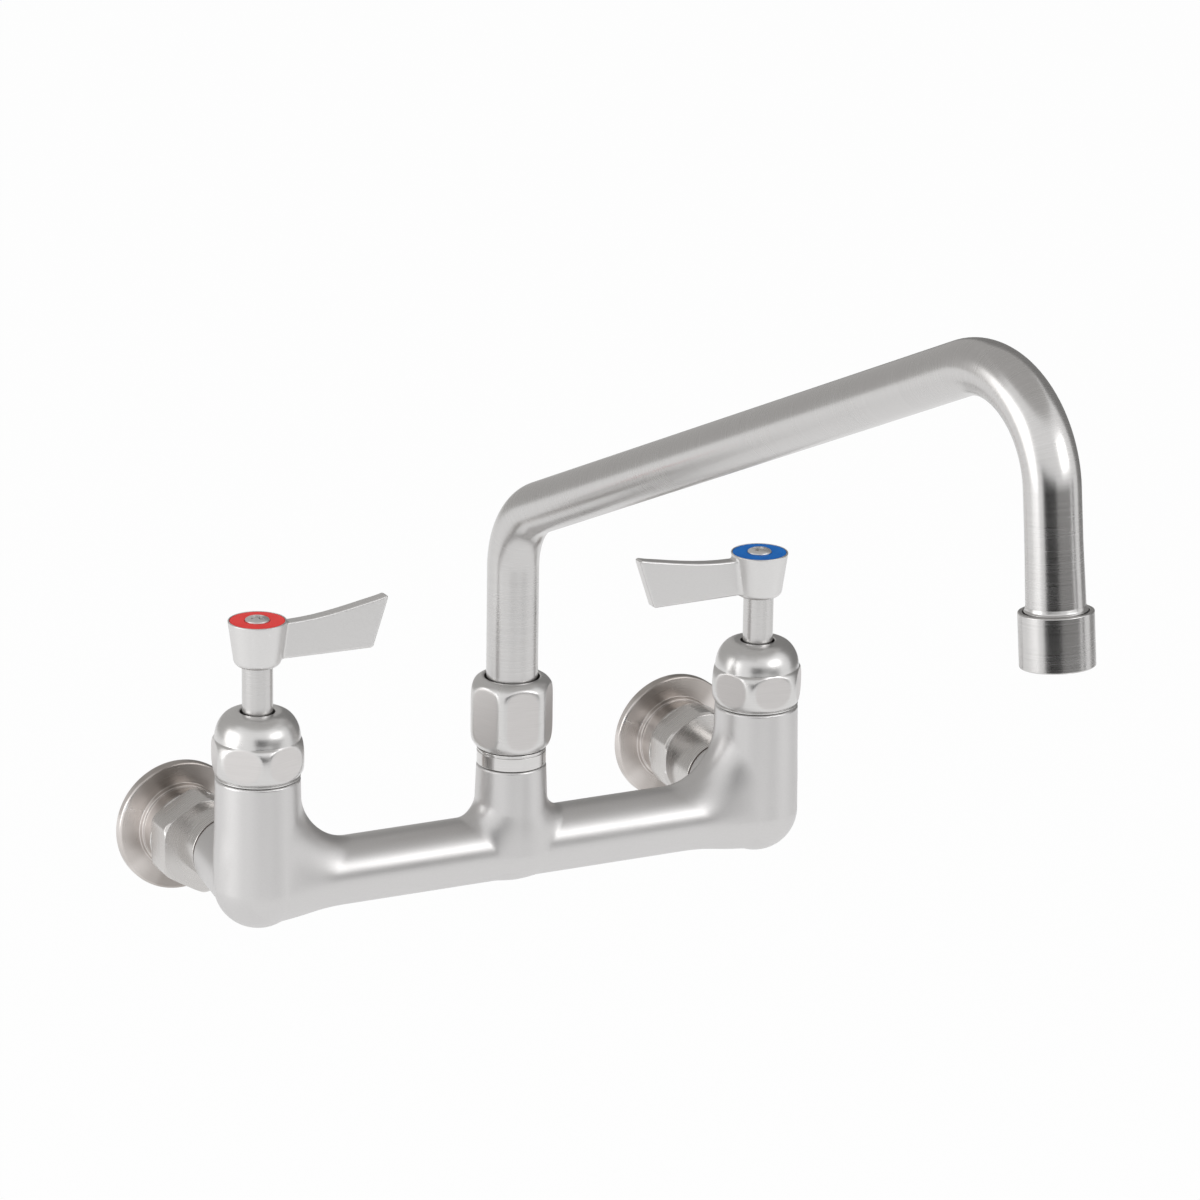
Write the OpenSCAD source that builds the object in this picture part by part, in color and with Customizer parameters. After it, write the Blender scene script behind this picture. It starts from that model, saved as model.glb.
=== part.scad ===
// Wall mounted sink mixer tap with two quarter turn lever valves and a swivel spout.
// Origin: midway between the two wall threads, on the wall plane.
// X runs along the wall from hot to cold, Y runs into the wall, Z is up.
// Heights are measured from the axis of the two inlets.

/* [Layout] */
// Distance between the hot and the cold valve axes
inlet_spacing = 203.2; // [195:0.1:230]
// Distance from the wall to the valve and spout axes
wall_gap = 72.2; // [71:0.1:90]
// Offset of each wall thread from its valve axis
eccentric = 3.2; // [0:0.1:3.6]
// Direction of that offset on the cold side, the hot side points the other way
eccentric_turn = 60; // [0:1:360]
// Swing of the spout at rest, from straight out toward the cold side
spout_swing = 7.9; // [-90:0.1:90]

/* [Body casting] */
// Diameter of the two end bosses at their foot
boss_d = 32.6; // [31.6:0.1:36]
// Diameter of the end bosses at their top
boss_top_d = 31.2; // [30.6:0.1:34]
// Height of the end bosses
boss_top = 38.8; // [37:0.1:44]
// Depth of the centre of the bosses' round bottoms
boss_base = 2.5; // [1:0.1:6]
// Diameter of the cross bar
bar_d = 25.2; // [23:0.1:27]
// Drop of the cross bar below the inlets
bar_drop = 2.4; // [0:0.1:4]
// Bore of the cross bar
bar_bore_d = 16; // [12:0.1:18]
// Height of the centre boss
centre_top = 29.9; // [28:0.1:36]
// Diameter of the centre boss at its top
centre_d = 25.8; // [25:0.1:28]
// Diameter of the centre boss where it meets the bar
centre_root_d = 27.8; // [27:0.1:30]
// Radius of the blends between the end bosses and the bar
end_blend_r = 15; // [8:0.1:18]
// Radius of the blends between the centre boss and the bar
centre_blend_r = 9; // [5:0.1:12]
// Rounding of the cast top edges
cast_edge = 0.8; // [0.3:0.1:1.5]
// Diameter of the threaded necks for the bonnet nuts
neck_d = 25.6; // [24.5:0.1:26]
// Height of the threaded necks
neck_h = 10.2; // [8:0.1:12]
// Diameter of the rear socket at its mouth
socket_d = 27.4; // [26.8:0.1:30]
// Distance from the valve axis to the mouth of the rear socket
socket_reach = 28.6; // [24:0.1:30]

/* [Valve bores] */
// Bore for the valve cartridge
cartridge_bore_d = 19; // [18:0.1:20]
// Height of the seat below the cartridge
seat_h = 8; // [7.6:0.1:10]
// Diameter of the chamber below the seat
chamber_d = 15.6; // [12:0.1:16.4]
// Depth of the chamber below the inlet axis
chamber_depth = 8; // [6.8:0.1:9]
// Diameter of the gallery round the cartridge
gallery_d = 23; // [21:0.1:25]
// Height of the gallery
gallery_h = 12; // [8:0.1:14]
// Diameter of the passage from the bar up to the valve
passage_d = 6; // [4:0.1:7]

/* [Inlets] */
// Diameter of the wall flange
flange_d = 49.6; // [46:0.1:60]
// Thickness of the wall flange at its rim
flange_t = 3.6; // [2:0.1:5]
// Diameter of the hub on the wall flange
hub_d = 31.4; // [28:0.1:33]
// Length of the hub in front of the flange
hub_len = 8.8; // [6:0.1:10]
// Diameter of the collar behind the inlet hex
collar_d = 34.8; // [33:0.1:37]
// Thickness of the collar
collar_t = 2.2; // [1.2:0.1:3]
// Inlet hex, across flats
inlet_af = 33.3; // [33:0.1:36]
// Length of the inlet hex
inlet_hex_len = 12.8; // [10:0.1:15]
// Diameter of the eccentric neck
pipe_d = 26.4; // [24:0.1:26.6]
// Diameter of the spigot that screws into the body
spigot_d = 21.8; // [20:0.1:22.6]
// Length of the spigot
spigot_len = 11; // [8:0.1:11.6]
// Waterway through the inlet
waterway_d = 13; // [10:0.1:13.4]
// Bore of the wall thread, half inch pipe
thread_bore_d = 19.2; // [18:0.1:20]
// Depth of the wall thread
thread_len = 15; // [12:0.1:18]
// Diameter of the barrel inside the wall flange
barrel_d = 25.4; // [24.4:0.1:26.4]
// Thickness of the fibre washer at the body
inlet_washer_t = 1.2; // [0.8:0.1:2]

/* [Bonnet nuts] */
// Bonnet nut, across flats
nut_af = 31.75; // [30.8:0.05:34]
// Largest diameter of the rounded nut
nut_barrel_d = 35.3; // [34:0.1:37]
// Sag of the nut's barrel toward its ends
nut_sag = 2.4; // [0.5:0.05:2.6]
// Height of the hex part
nut_hex_h = 14.2; // [12:0.1:17]
// Diameter of the dome at its foot
dome_d = 31; // [30:0.1:32]
// Height of the dome
dome_h = 10; // [8:0.1:12]
// Hole in the top of the dome
dome_hole_d = 12.8; // [12.2:0.1:14]
// Turn of the hot bonnet nut
hot_nut_turn = 16.4; // [0:0.1:60]
// Turn of the cold bonnet nut
cold_nut_turn = 55.2; // [0:0.1:60]

/* [Valve cartridges] */
// Diameter of the cartridge sleeve
sleeve_d = 18.6; // [17.6:0.1:18.8]
// Diameter of the sleeve's clamping flange
sleeve_flange_d = 24.6; // [22:0.1:25.2]
// Thickness of the clamping flange
sleeve_flange_t = 3; // [2:0.1:4]
// Diameter of the stem
stem_d = 11.3; // [9:0.1:11.6]
// Thickness of each ceramic disc
disc_t = 3; // [2:0.1:3.4]
// Diameter of the ceramic discs
disc_d = 15.8; // [14:0.1:16.2]
// Diameter of the ports through the discs
port_d = 5; // [3:0.1:5.2]
// Height of the outlet windows in the sleeve
window_h = 8; // [5:0.1:9]
// Width of the outlet windows in the sleeve
window_w = 7; // [4:0.1:8]
// Thickness of the seat seal
seal_t = 3; // [2:0.1:3.6]

/* [Levers] */
// Height of the lever hub's top
lever_top = 98.2; // [92:0.1:110]
// Height of the lever hub
lever_hub_h = 17; // [16:0.1:20]
// Diameter of the hub at its top
lever_hub_d = 21.5; // [20:0.1:25]
// Diameter of the hub near its bottom
lever_root_d = 16.8; // [15.6:0.1:18]
// Rounding below the hub
lever_round = 2.4; // [1:0.1:3]
// Reach of the lever from its axis to the tip
lever_reach = 50.8; // [40:0.1:70]
// Slant of the tip
lever_slant = 6.2; // [2:0.1:10]
// Rise of the tip above the hub's top
lever_rise = 3.4; // [1:0.1:8]
// Dip of the blade's top edge at the hub
lever_dip = 1.7; // [1:0.1:3]
// Thickness of the blade
blade_t = 4.8; // [3:0.1:7]
// Chamfer round the blade
blade_edge = 0.7; // [0.2:0.1:1]
// Diameter of the index ring
index_d = 20; // [16:0.1:20.2]
// Thickness of the index ring
index_t = 1.2; // [0.8:0.1:1.6]
// Diameter of the lever screw's head
screw_head_d = 8.6; // [6:0.1:9]

/* [Spout] */
// Outside diameter of the spout tube
tube_d = 19.05; // [16:0.05:19.3]
// Wall of the spout tube
tube_wall = 1.2; // [0.8:0.1:2]
// Height of the lower bend's corner
riser_h = 124.7; // [110:0.1:160]
// Reach from the spout axis to the upper bend's corner
arm_reach = 309.6; // [200:0.1:360]
// Rise of the arm from level
arm_angle = 24.5; // [5:0.1:35]
// Length from the upper bend's corner to the outlet face
drop_len = 107.5; // [100:0.1:150]
// Lean of the down pipe away from the spout axis
drop_angle = 6; // [0:0.1:12]
// Centre line radius of the lower bend
lower_bend_r = 30; // [24:0.1:45]
// Centre line radius of the upper bend
upper_bend_r = 35; // [26:0.1:45]

/* [Swivel joint] */
// Spout nut, across flats
spout_nut_af = 28.6; // [28.2:0.1:31]
// Diameter over the spout nut's rounded corners
spout_nut_d = 31.1; // [30:0.1:33]
// Height of the spout nut
spout_nut_h = 27; // [25.5:0.1:32]
// Rounding at the top of the spout nut
spout_nut_round = 4.5; // [2:0.1:4.6]
// Turn of the spout nut
spout_nut_turn = 51.5; // [0:0.1:60]
// Diameter of the nipple's collar
nipple_d = 25.6; // [25.2:0.1:28]
// Height of the nipple's collar
nipple_collar_h = 6.2; // [4:0.1:8]
// Diameter of the thread inside the spout nut
nipple_thread_d = 24.4; // [23.8:0.1:24.8]
// Length of the thread inside the spout nut
nipple_thread_len = 13.2; // [12:0.1:14]
// Diameter of the spigot at the foot of the spout
foot_spigot_d = 19; // [17:0.1:20]

/* [Outlet] */
// Diameter of the aerator housing
aerator_d = 25.1; // [24.4:0.1:28]
// Length of the aerator housing
aerator_len = 18.5; // [17:0.1:24]
// Diameter of the thread at the end of the spout
tip_d = 21.8; // [21.2:0.1:22.4]
// Depth of the tip below the housing's top edge
tip_recess = 1.5; // [0.5:0.1:3]
// Diameter of the jets in the aerator insert
jet_d = 2.4; // [1:0.1:2.8]

/* [Hidden] */
$fn = 64;
hot = -1;
cold = 1;

// Clearances and small sizes shared by the fits
running_fit = 0.06;
thread_fit = 0.1;
slip_fit = 0.2;
face_gap = 0.3;
joint_gap = 0.2;
disc_gap = 0.25;
ring_proud = 0.02;
cut = 1;

// Cast body
boss_r = boss_d / 2;
bar_r = bar_d / 2;
neck_top = boss_top + neck_h;
blend_width_share = 0.85;
blend_steps = 8;
blend_sides = 28;
socket_sides = 48;
blend_belly = 0.8;
blend_sink = 0.2;
gallery_base = seat_h + seal_t + 2 * disc_t;
passage_out = 2.4;
passage_in_share = 0.61;
thread_shoulder = 13;

// Inlets
socket_mouth = wall_gap - socket_reach;
pipe_end = socket_mouth - inlet_washer_t;
hub_gap = 0.5;
hex_back = flange_t + hub_len + hub_gap + collar_t;
hex_front = hex_back + inlet_hex_len;
hex_edge = 1.4;
flange_edge = 0.9;
wall_stand = 0.4;
ring_wire_d = 1.8;
ring_room = 0.2;

// Bonnet nuts
nut_base = boss_top + joint_gap;
nut_lip_h = 0.6;
nut_lip_d = 30;
nut_sag_power = 4;
dome_flat = 1.2;
dome_power = 0.8;
curve_steps = 8;

// Valve cartridge, from the seat up
sleeve_base = seat_h + seal_t;
disc_base = sleeve_base;
moving_base = disc_base + disc_t + disc_gap;
driver_base = moving_base + disc_t;
slot_depth = disc_t / 2;
tongue_w = 3;
tongue_l = 12;
driver_d = 7;
thrust_t = 2.6;
thrust_rise = 1.8;
thrust_base = driver_base + window_h + thrust_rise;
sleeve_room_top = thrust_base + thrust_t + face_gap;
sleeve_top = neck_top + sleeve_flange_t;
turret_d = 16.6;
turret_h = 4.5;
stem_ring_drop = 8;
stem_ring_h = neck_top - stem_ring_drop;
stem_ring_d = 1.3;
serration_d = 8.4;
lever_base = lever_top - lever_hub_h;
serration_short = 5.2;
serration_h = lever_hub_h - serration_short;
screw_d = 4;
screw_len = 9;
screw_head_h = 2;
screw_sunk = 3.4;
screw_floor = lever_top - screw_sunk;
recess_w = 0.9;
recess_l_share = 0.62;
sag_place_share = 0.42;
sag_drop_share = 0.62;

// Swivel joint, from the centre boss up
nipple_base = centre_top + joint_gap;
nipple_top = nipple_base + nipple_collar_h;
nut_z = nipple_top + joint_gap;
nut_round_share = 1.2;
thread_top = nipple_top + nipple_thread_len;
stub_d = 20;
stub_len = 12.6;
foot_flange_d = 22.8;
foot_flange_t = 2.4;
foot_flange_z = thread_top + face_gap;
foot_stand = 2.2;
foot_base = nipple_top + foot_stand;
foot_bore_d = 12.6;
plug_len = 7;
foot_top = foot_flange_z + foot_flange_t;
glide_t = 1.5;
glide_z = foot_top + face_gap;
nut_shoulder = glide_z + glide_t;
spout_hole_d = tube_d + 4 * face_gap;
foot_ring_rise = 6;
foot_ring_z = foot_base + foot_ring_rise;

// Spout path
lower_turn = 90 - arm_angle;
upper_turn = arm_angle + 90 - drop_angle;
lower_tangent = lower_bend_r * tan(lower_turn / 2);
upper_tangent = upper_bend_r * tan(upper_turn / 2);
riser_len = riser_h - lower_tangent - foot_top;
arm_len = arm_reach / cos(arm_angle) - lower_tangent - upper_tangent;

// Outlet, measured up from the outlet face
tip_top = aerator_len - tip_recess;
insert_ledge = 7;
insert_flange_t = 1.2;
washer_z = insert_ledge + insert_flange_t;
aerator_washer_t = 1.5;
tip_base = washer_z + aerator_washer_t;
tip_floor = 1.4;
tube_seat = tip_base + tip_floor;
insert_d = 18.6;
insert_recess = 0.8;
jet_ring_shares = [[1, 0], [6, 0.36], [12, 0.74]];
housing_edge = 0.5;
tube_end = drop_len - upper_tangent - tube_seat;
// The tube draws in a little where it is bent
bend_draw = 0.12;
bend_lap = 0.6;

// Colours
steel = [0.78, 0.78, 0.78];
bright = [0.84, 0.84, 0.85];
dark_steel = [0.55, 0.52, 0.50];
rubber = [0.10, 0.10, 0.10];
ceramic = [0.93, 0.92, 0.88];
fibre = [0.55, 0.22, 0.16];
brass = [0.80, 0.66, 0.36];
nylon = [0.92, 0.92, 0.90];
red = [0.86, 0.16, 0.16];
blue = [0.05, 0.37, 0.71];

// Points along an arc, angles in degrees
function arc(cx, cy, rx, ry, a0, a1, n) =
    [for (i = [0:n]) let (a = a0 + (a1 - a0) * i / n) [cx + rx * cos(a), cy + ry * sin(a)]];

// Moves to a valve axis
module at_valve(side) {
    translate([side * inlet_spacing / 2, -wall_gap, 0]) children();
}

// Moves to the spout axis
module at_spout() {
    translate([0, -wall_gap, 0]) children();
}

// Stands on the wall at a wall thread, local Z points out of the wall
module from_wall(side) {
    along = eccentric * cos(eccentric_turn);
    up = eccentric * sin(eccentric_turn);
    translate([side * (inlet_spacing / 2 + along), 0, side * up]) rotate([90, 0, 0]) children();
}

// Stands on the wall on the axis of a body inlet, local Z points out of the wall
module from_wall_to_valve(side) {
    translate([side * inlet_spacing / 2, 0, 0]) rotate([90, 0, 0]) children();
}

// Ring of a given bore
module washer(outer_d, inner_d, h) {
    difference() {
        cylinder(d = outer_d, h = h);
        translate([0, 0, -cut]) cylinder(d = inner_d, h = h + 2 * cut);
    }
}

// Seal ring of round wire, outer_d over the ring
module wire_ring(outer_d, wire_d) {
    rotate_extrude() translate([(outer_d - wire_d) / 2, 0]) circle(d = wire_d, $fn = 24);
}

// Straight hex bar with its corners along the turn angle
module hex_bar(af, h, turn) {
    rotate([0, 0, turn]) cylinder(d = af / cos(30), h = h, $fn = 6);
}

// Rod between two points of the XZ plane
module rod(from, to, d) {
    run = to - from;
    translate([from[0], 0, from[1]]) rotate([0, atan2(run[0], run[1]), 0])
        cylinder(d = d, h = norm(run));
}

// One cross section of a blend, an egg of half width w, height up and depth down
function egg(x, w, up, down) = [
    for (i = [0:blend_sides - 1]) let (a = 360 * i / blend_sides)
        [x, w * cos(a), sin(a) * (sin(a) > 0 ? up : down)]
];

// A round cross section of radius r at height z
function round_section(x, r, z) =
    [for (i = [0:socket_sides - 1]) let (a = 360 * i / socket_sides) [x, r * cos(a), z + r * sin(a)]];

// Skin over a row of cross sections with the same number of points
module loft(sections) {
    n = len(sections[0]);
    last = len(sections) - 1;
    points = [for (s = sections) each s];
    start = [[for (i = [0:n - 1]) i]];
    end = [[for (i = [n - 1:-1:0]) last * n + i]];
    sides = [for (s = [0:last - 1], i = [0:n - 1]) let (j = (i + 1) % n)
        [s * n + j, s * n + i, (s + 1) * n + i, (s + 1) * n + j]];
    polyhedron(points = points, faces = concat(start, end, sides), convexity = 4);
}

// Cast blend from the bar up a boss whose axis is at the local origin, bar toward -X
module bar_blend(wall_r, blend_r, half_w) {
    start_r = bar_r - blend_sink;
    rows = [for (i = [0:blend_steps]) let (a = 90 * i / blend_steps)
        [blend_r * sin(a), blend_r * (1 - cos(a)), i / blend_steps]];
    sections = [for (row = rows)
        egg(row[0] - wall_r - blend_r, start_r + (half_w - start_r) * row[2],
            start_r + row[1], start_r + blend_belly * row[2])];
    inside = egg(0, half_w, start_r + blend_r, start_r + blend_belly);
    translate([0, 0, -bar_drop]) loft(concat(sections, [inside]));
}

// End boss with its round bottom, threaded neck and rear socket
module end_boss(side) {
    at_valve(side) {
        translate([0, 0, -boss_base]) intersection() {
            sphere(d = boss_d);
            translate([0, 0, -boss_d]) cylinder(d = 2 * boss_d, h = boss_d);
        }
        rotate_extrude() polygon(concat(
            [[0, -boss_base], [boss_r, -boss_base]],
            arc(boss_top_d / 2 - cast_edge, boss_top - cast_edge, cast_edge, cast_edge, 0, 90, 4),
            [[neck_d / 2, boss_top], [neck_d / 2, neck_top], [0, neck_top]]));
        rotate([0, 0, 90]) loft([round_section(0, boss_r - cast_edge, -boss_base),
            round_section(socket_reach, socket_d / 2, 0)]);
    }
}

// Bores of one end boss
module end_bores(side) {
    at_valve(side) {
        translate([0, 0, seat_h]) cylinder(d = cartridge_bore_d, h = neck_top);
        translate([0, 0, -chamber_depth]) cylinder(d = chamber_d, h = chamber_depth + seat_h + cut);
        translate([0, 0, gallery_base]) cylinder(d = gallery_d, h = gallery_h);
        rod([-side * (boss_r + passage_out), -bar_drop],
            [-side * passage_in_share * boss_r, gallery_base + passage_d], passage_d);
    }
    from_wall_to_valve(side) {
        translate([0, 0, socket_mouth - cut])
            cylinder(d = spigot_d + 2 * thread_fit, h = spigot_len + face_gap + cut);
        translate([0, 0, socket_mouth]) cylinder(d = waterway_d, h = socket_reach);
    }
}

// Cast body: two end bosses, the bar between them and the centre boss
module body() {
    bar_half = inlet_spacing / 2 - boss_r;
    color(steel) difference() {
        union() {
            for (side = [hot, cold]) end_boss(side);
            at_spout() translate([-inlet_spacing / 2, 0, -bar_drop]) rotate([0, 90, 0])
                cylinder(d = bar_d, h = inlet_spacing);
            at_spout() rotate_extrude() polygon(concat(
                [[0, -bar_drop], [bar_r - cast_edge, -bar_drop], [centre_root_d / 2, bar_r]],
                arc(centre_d / 2 - cast_edge, centre_top - cast_edge, cast_edge, cast_edge, 0, 90, 4),
                [[0, centre_top]]));
            at_valve(cold) bar_blend(boss_r, end_blend_r, blend_width_share * boss_r);
            at_valve(hot) mirror([1, 0, 0]) bar_blend(boss_r, end_blend_r, blend_width_share * boss_r);
            at_spout() for (turn = [0, 1]) mirror([turn, 0, 0])
                bar_blend(centre_root_d / 2, centre_blend_r, bar_r - cast_edge);
        }
        for (side = [hot, cold]) end_bores(side);
        at_spout() translate([-bar_half, 0, -bar_drop]) rotate([0, 90, 0])
            cylinder(d = bar_bore_d, h = 2 * bar_half);
        at_spout() translate([0, 0, -bar_drop]) cylinder(d = bar_bore_d, h = centre_top + bar_drop);
        at_spout() translate([0, 0, centre_top - thread_shoulder])
            cylinder(d = stub_d + 2 * thread_fit, h = thread_shoulder + cut);
    }
}

// Wall flange with the hub that slides over the inlet
module wall_flange(side) {
    color(dark_steel) from_wall(side) difference() {
        rotate_extrude() polygon(concat(
            [[0, 0], [flange_d / 2, 0]],
            arc(flange_d / 2 - flange_edge, flange_t - flange_edge, flange_edge, flange_edge, 0, 90, 5),
            [[hub_d / 2, flange_t], [hub_d / 2, flange_t + hub_len - flange_edge / 2],
             [hub_d / 2 - flange_edge / 2, flange_t + hub_len], [0, flange_t + hub_len]]));
        translate([0, 0, -cut]) cylinder(d = barrel_d + 2 * slip_fit, h = flange_t + hub_len + 2 * cut);
    }
}

// Eccentric inlet: wall thread, collar, hex, neck and the spigot in the body
module inlet(side) {
    corner_d = inlet_af / cos(30);
    color(steel) difference() {
        union() {
            from_wall(side) {
                translate([0, 0, wall_stand]) cylinder(d = barrel_d, h = hex_back - wall_stand);
                translate([0, 0, hex_back - collar_t]) rotate_extrude() polygon([
                    [0, 0], [(hub_d + collar_d) / 4, 0], [collar_d / 2, collar_t / 2],
                    [collar_d / 2, collar_t], [0, collar_t]]);
                intersection() {
                    translate([0, 0, hex_back]) hex_bar(inlet_af, inlet_hex_len, 90);
                    translate([0, 0, hex_back - cut]) rotate_extrude() polygon([
                        [0, 0], [corner_d / 2, 0], [corner_d / 2, inlet_hex_len + cut - hex_edge],
                        [inlet_af / 2 - hex_edge / 4, inlet_hex_len + cut], [0, inlet_hex_len + cut]]);
                }
            }
            from_wall_to_valve(side) {
                translate([0, 0, hex_front - cut]) cylinder(d = pipe_d, h = pipe_end - hex_front + cut);
                translate([0, 0, pipe_end - cut])
                    cylinder(d = spigot_d, h = inlet_washer_t + spigot_len + cut);
            }
        }
        from_wall(side) cylinder(d = thread_bore_d, h = thread_len);
        from_wall_to_valve(side) {
            translate([0, 0, thread_len - cut])
                cylinder(d = waterway_d, h = pipe_end + inlet_washer_t + spigot_len);
            translate([0, 0, socket_mouth + spigot_len / 2]) washer(spigot_d + cut,
                spigot_d - 2 * ring_wire_d - 2 * ring_room, ring_wire_d + 2 * ring_room);
        }
    }
}

// Fibre washer between the inlet neck and the body
module inlet_washer(side) {
    color(fibre) from_wall_to_valve(side) translate([0, 0, pipe_end])
        washer(pipe_d, spigot_d + 2 * slip_fit, inlet_washer_t);
}

// Seal ring on the inlet spigot
module inlet_o_ring(side) {
    color(rubber) from_wall_to_valve(side)
        translate([0, 0, socket_mouth + spigot_len / 2 + ring_wire_d / 2 + ring_room])
            wire_ring(spigot_d, ring_wire_d);
}

// Rubber seal between the seat and the cartridge
module seat_seal(side) {
    color(rubber) at_valve(side) translate([0, 0, seat_h])
        washer(cartridge_bore_d - 2 * slip_fit, chamber_d - 2 * slip_fit, seal_t);
}

// Round ports through a ceramic disc
module disc_ports(turn) {
    for (a = [0, 180]) rotate([0, 0, turn + a])
        translate([(disc_d - port_d) / 2 - port_d / 4, 0, -cut]) cylinder(d = port_d, h = disc_t + 2 * cut);
}

// Ceramic disc that stays still
module fixed_disc(side) {
    color(ceramic) at_valve(side) translate([0, 0, disc_base]) difference() {
        cylinder(d = disc_d, h = disc_t);
        disc_ports(90);
    }
}

// Ceramic disc that the spindle turns, with the slot for its tongue
module moving_disc(side) {
    color(ceramic) at_valve(side) translate([0, 0, moving_base]) difference() {
        cylinder(d = disc_d, h = disc_t);
        disc_ports(0);
        translate([-tongue_w / 2 - slip_fit, -tongue_l / 2 - slip_fit, disc_t - slot_depth - slip_fit])
            cube([tongue_w + 2 * slip_fit, tongue_l + 2 * slip_fit, disc_t]);
    }
}

// Brass sleeve that holds the discs and guides the spindle
module valve_sleeve(side) {
    color(brass) at_valve(side) difference() {
        union() {
            translate([0, 0, sleeve_base]) cylinder(d = sleeve_d, h = sleeve_top - sleeve_base);
            translate([0, 0, neck_top]) cylinder(d = sleeve_flange_d, h = sleeve_flange_t);
            translate([0, 0, sleeve_top - cut]) cylinder(d = turret_d, h = turret_h + cut);
        }
        translate([0, 0, sleeve_base - cut])
            cylinder(d = disc_d + 2 * slip_fit, h = sleeve_room_top - sleeve_base + cut);
        cylinder(d = stem_d + 2 * running_fit, h = lever_top);
        for (turn = [0, 90]) translate([0, 0, driver_base + window_h / 2 + face_gap]) rotate([0, 0, turn])
            cube([sleeve_d + cut, window_w, window_h], center = true);
    }
}

// Spindle: tongue, driver, thrust ring, stem and the end that carries the lever
module spindle(side) {
    color(bright) at_valve(side) difference() {
        union() {
            translate([-tongue_w / 2, -tongue_l / 2, driver_base - slot_depth])
                cube([tongue_w, tongue_l, slot_depth + cut]);
            translate([0, 0, driver_base]) cylinder(d = driver_d, h = thrust_base - driver_base + cut);
            translate([0, 0, thrust_base]) cylinder(d = disc_d - 2 * slip_fit, h = thrust_t);
            translate([0, 0, thrust_base]) cylinder(d = stem_d, h = lever_base - thrust_base);
            translate([0, 0, lever_base - cut]) cylinder(d = serration_d, h = serration_h + cut);
        }
        translate([0, 0, stem_ring_h - stem_ring_d / 2 - ring_room]) washer(stem_d + cut,
            stem_d - 2 * stem_ring_d - 2 * ring_room, stem_ring_d + 2 * ring_room);
        translate([0, 0, screw_floor - screw_len])
            cylinder(d = screw_d + 2 * thread_fit, h = screw_len + lever_hub_h);
    }
}

// Seal ring on the stem
module spindle_o_ring(side) {
    color(rubber) at_valve(side) translate([0, 0, stem_ring_h]) wire_ring(stem_d, stem_ring_d);
}

// Domed nut: a turned barrel and dome cut to a hex
module bonnet_nut(side, turn) {
    flat_r = dome_hole_d / 2 + dome_flat;
    barrel = [for (i = [-curve_steps:curve_steps]) let (off = i / curve_steps)
        [nut_barrel_d / 2 - nut_sag * pow(abs(off), nut_sag_power), nut_hex_h * (1 + off) / 2]];
    dome = [for (i = [0:curve_steps]) let (a = 90 - 90 * i / curve_steps)
        [flat_r + (dome_d / 2 - flat_r) * pow(sin(a), dome_power), nut_hex_h + dome_h * cos(a)]];
    color(bright) at_valve(side) difference() {
        translate([0, 0, nut_base + nut_lip_h]) union() {
            intersection() {
                rotate_extrude() polygon(concat([[0, 0]], barrel, [[0, nut_hex_h]]));
                translate([0, 0, -cut]) hex_bar(nut_af, nut_hex_h + 2 * cut, turn);
            }
            rotate_extrude() polygon(concat([[0, nut_hex_h - cut], [dome_d / 2, nut_hex_h - cut]], dome,
                [[0, nut_hex_h + dome_h]]));
            translate([0, 0, -nut_lip_h]) cylinder(d = nut_lip_d, h = nut_lip_h + cut);
        }
        translate([0, 0, nut_base - cut])
            cylinder(d = neck_d + 2 * thread_fit, h = sleeve_top - nut_base + cut);
        translate([0, 0, nut_base])
            cylinder(d = turret_d + 2 * slip_fit, h = sleeve_top + turret_h + face_gap - nut_base);
        translate([0, 0, nut_base]) cylinder(d = dome_hole_d, h = nut_hex_h + dome_h + cut);
    }
}

// Lever: a tapered hub and a flat flared blade with a concave top edge
module lever(side) {
    blade_base = lever_base + lever_dip;
    root_top = lever_top - lever_dip;
    tip_top_z = lever_top + lever_rise;
    turn = side == hot ? 0 : 180;
    // outline of the blade's long side, inset by a margin
    outline = function (m) [
        [0, blade_base + m], [lever_reach - lever_slant - m, blade_base + m],
        [lever_reach - m, tip_top_z - m], [0, root_top - m]];
    rise = tip_top_z - root_top;
    sag_r = (lever_reach * lever_reach / 4 + rise * rise) / lever_dip;
    color(steel) at_valve(side) rotate([0, 0, turn]) difference() {
        union() {
            rotate_extrude() polygon(concat(
                [[0, lever_base], [lever_root_d / 2 - lever_round, lever_base]],
                arc(lever_root_d / 2 - lever_round, lever_base + lever_round,
                    lever_round, lever_round, -90, 0, 5),
                [[lever_hub_d / 2, lever_top - cast_edge], [lever_hub_d / 2 - cast_edge / 2, lever_top],
                 [0, lever_top]]));
            difference() {
                hull() {
                    rotate([90, 0, 0]) translate([0, 0, -blade_t / 2 + blade_edge])
                        linear_extrude(blade_t - 2 * blade_edge) polygon(outline(0));
                    rotate([90, 0, 0]) translate([0, 0, -blade_t / 2])
                        linear_extrude(blade_t) polygon(outline(blade_edge));
                }
                translate([lever_reach * sag_place_share, 0, tip_top_z + sag_r - rise * sag_drop_share])
                    rotate([90, 0, 0]) cylinder(r = sag_r, h = 2 * blade_t, center = true, $fn = 360);
            }
        }
        translate([0, 0, lever_base - cut])
            cylinder(d = serration_d + 2 * slip_fit, h = serration_h + slip_fit + cut);
        cylinder(d = screw_d + 2 * slip_fit, h = lever_top + cut);
        translate([0, 0, lever_top - index_t]) cylinder(d = index_d + 2 * slip_fit, h = index_t + cut);
        translate([0, 0, screw_floor]) cylinder(d = screw_head_d + 2 * slip_fit, h = lever_hub_h);
    }
}

// Plain coloured index ring let into the hub
module index_ring(side, tint) {
    color(tint) at_valve(side) translate([0, 0, lever_top - index_t])
        washer(index_d, screw_head_d + 2 * slip_fit, index_t + ring_proud);
}

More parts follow.
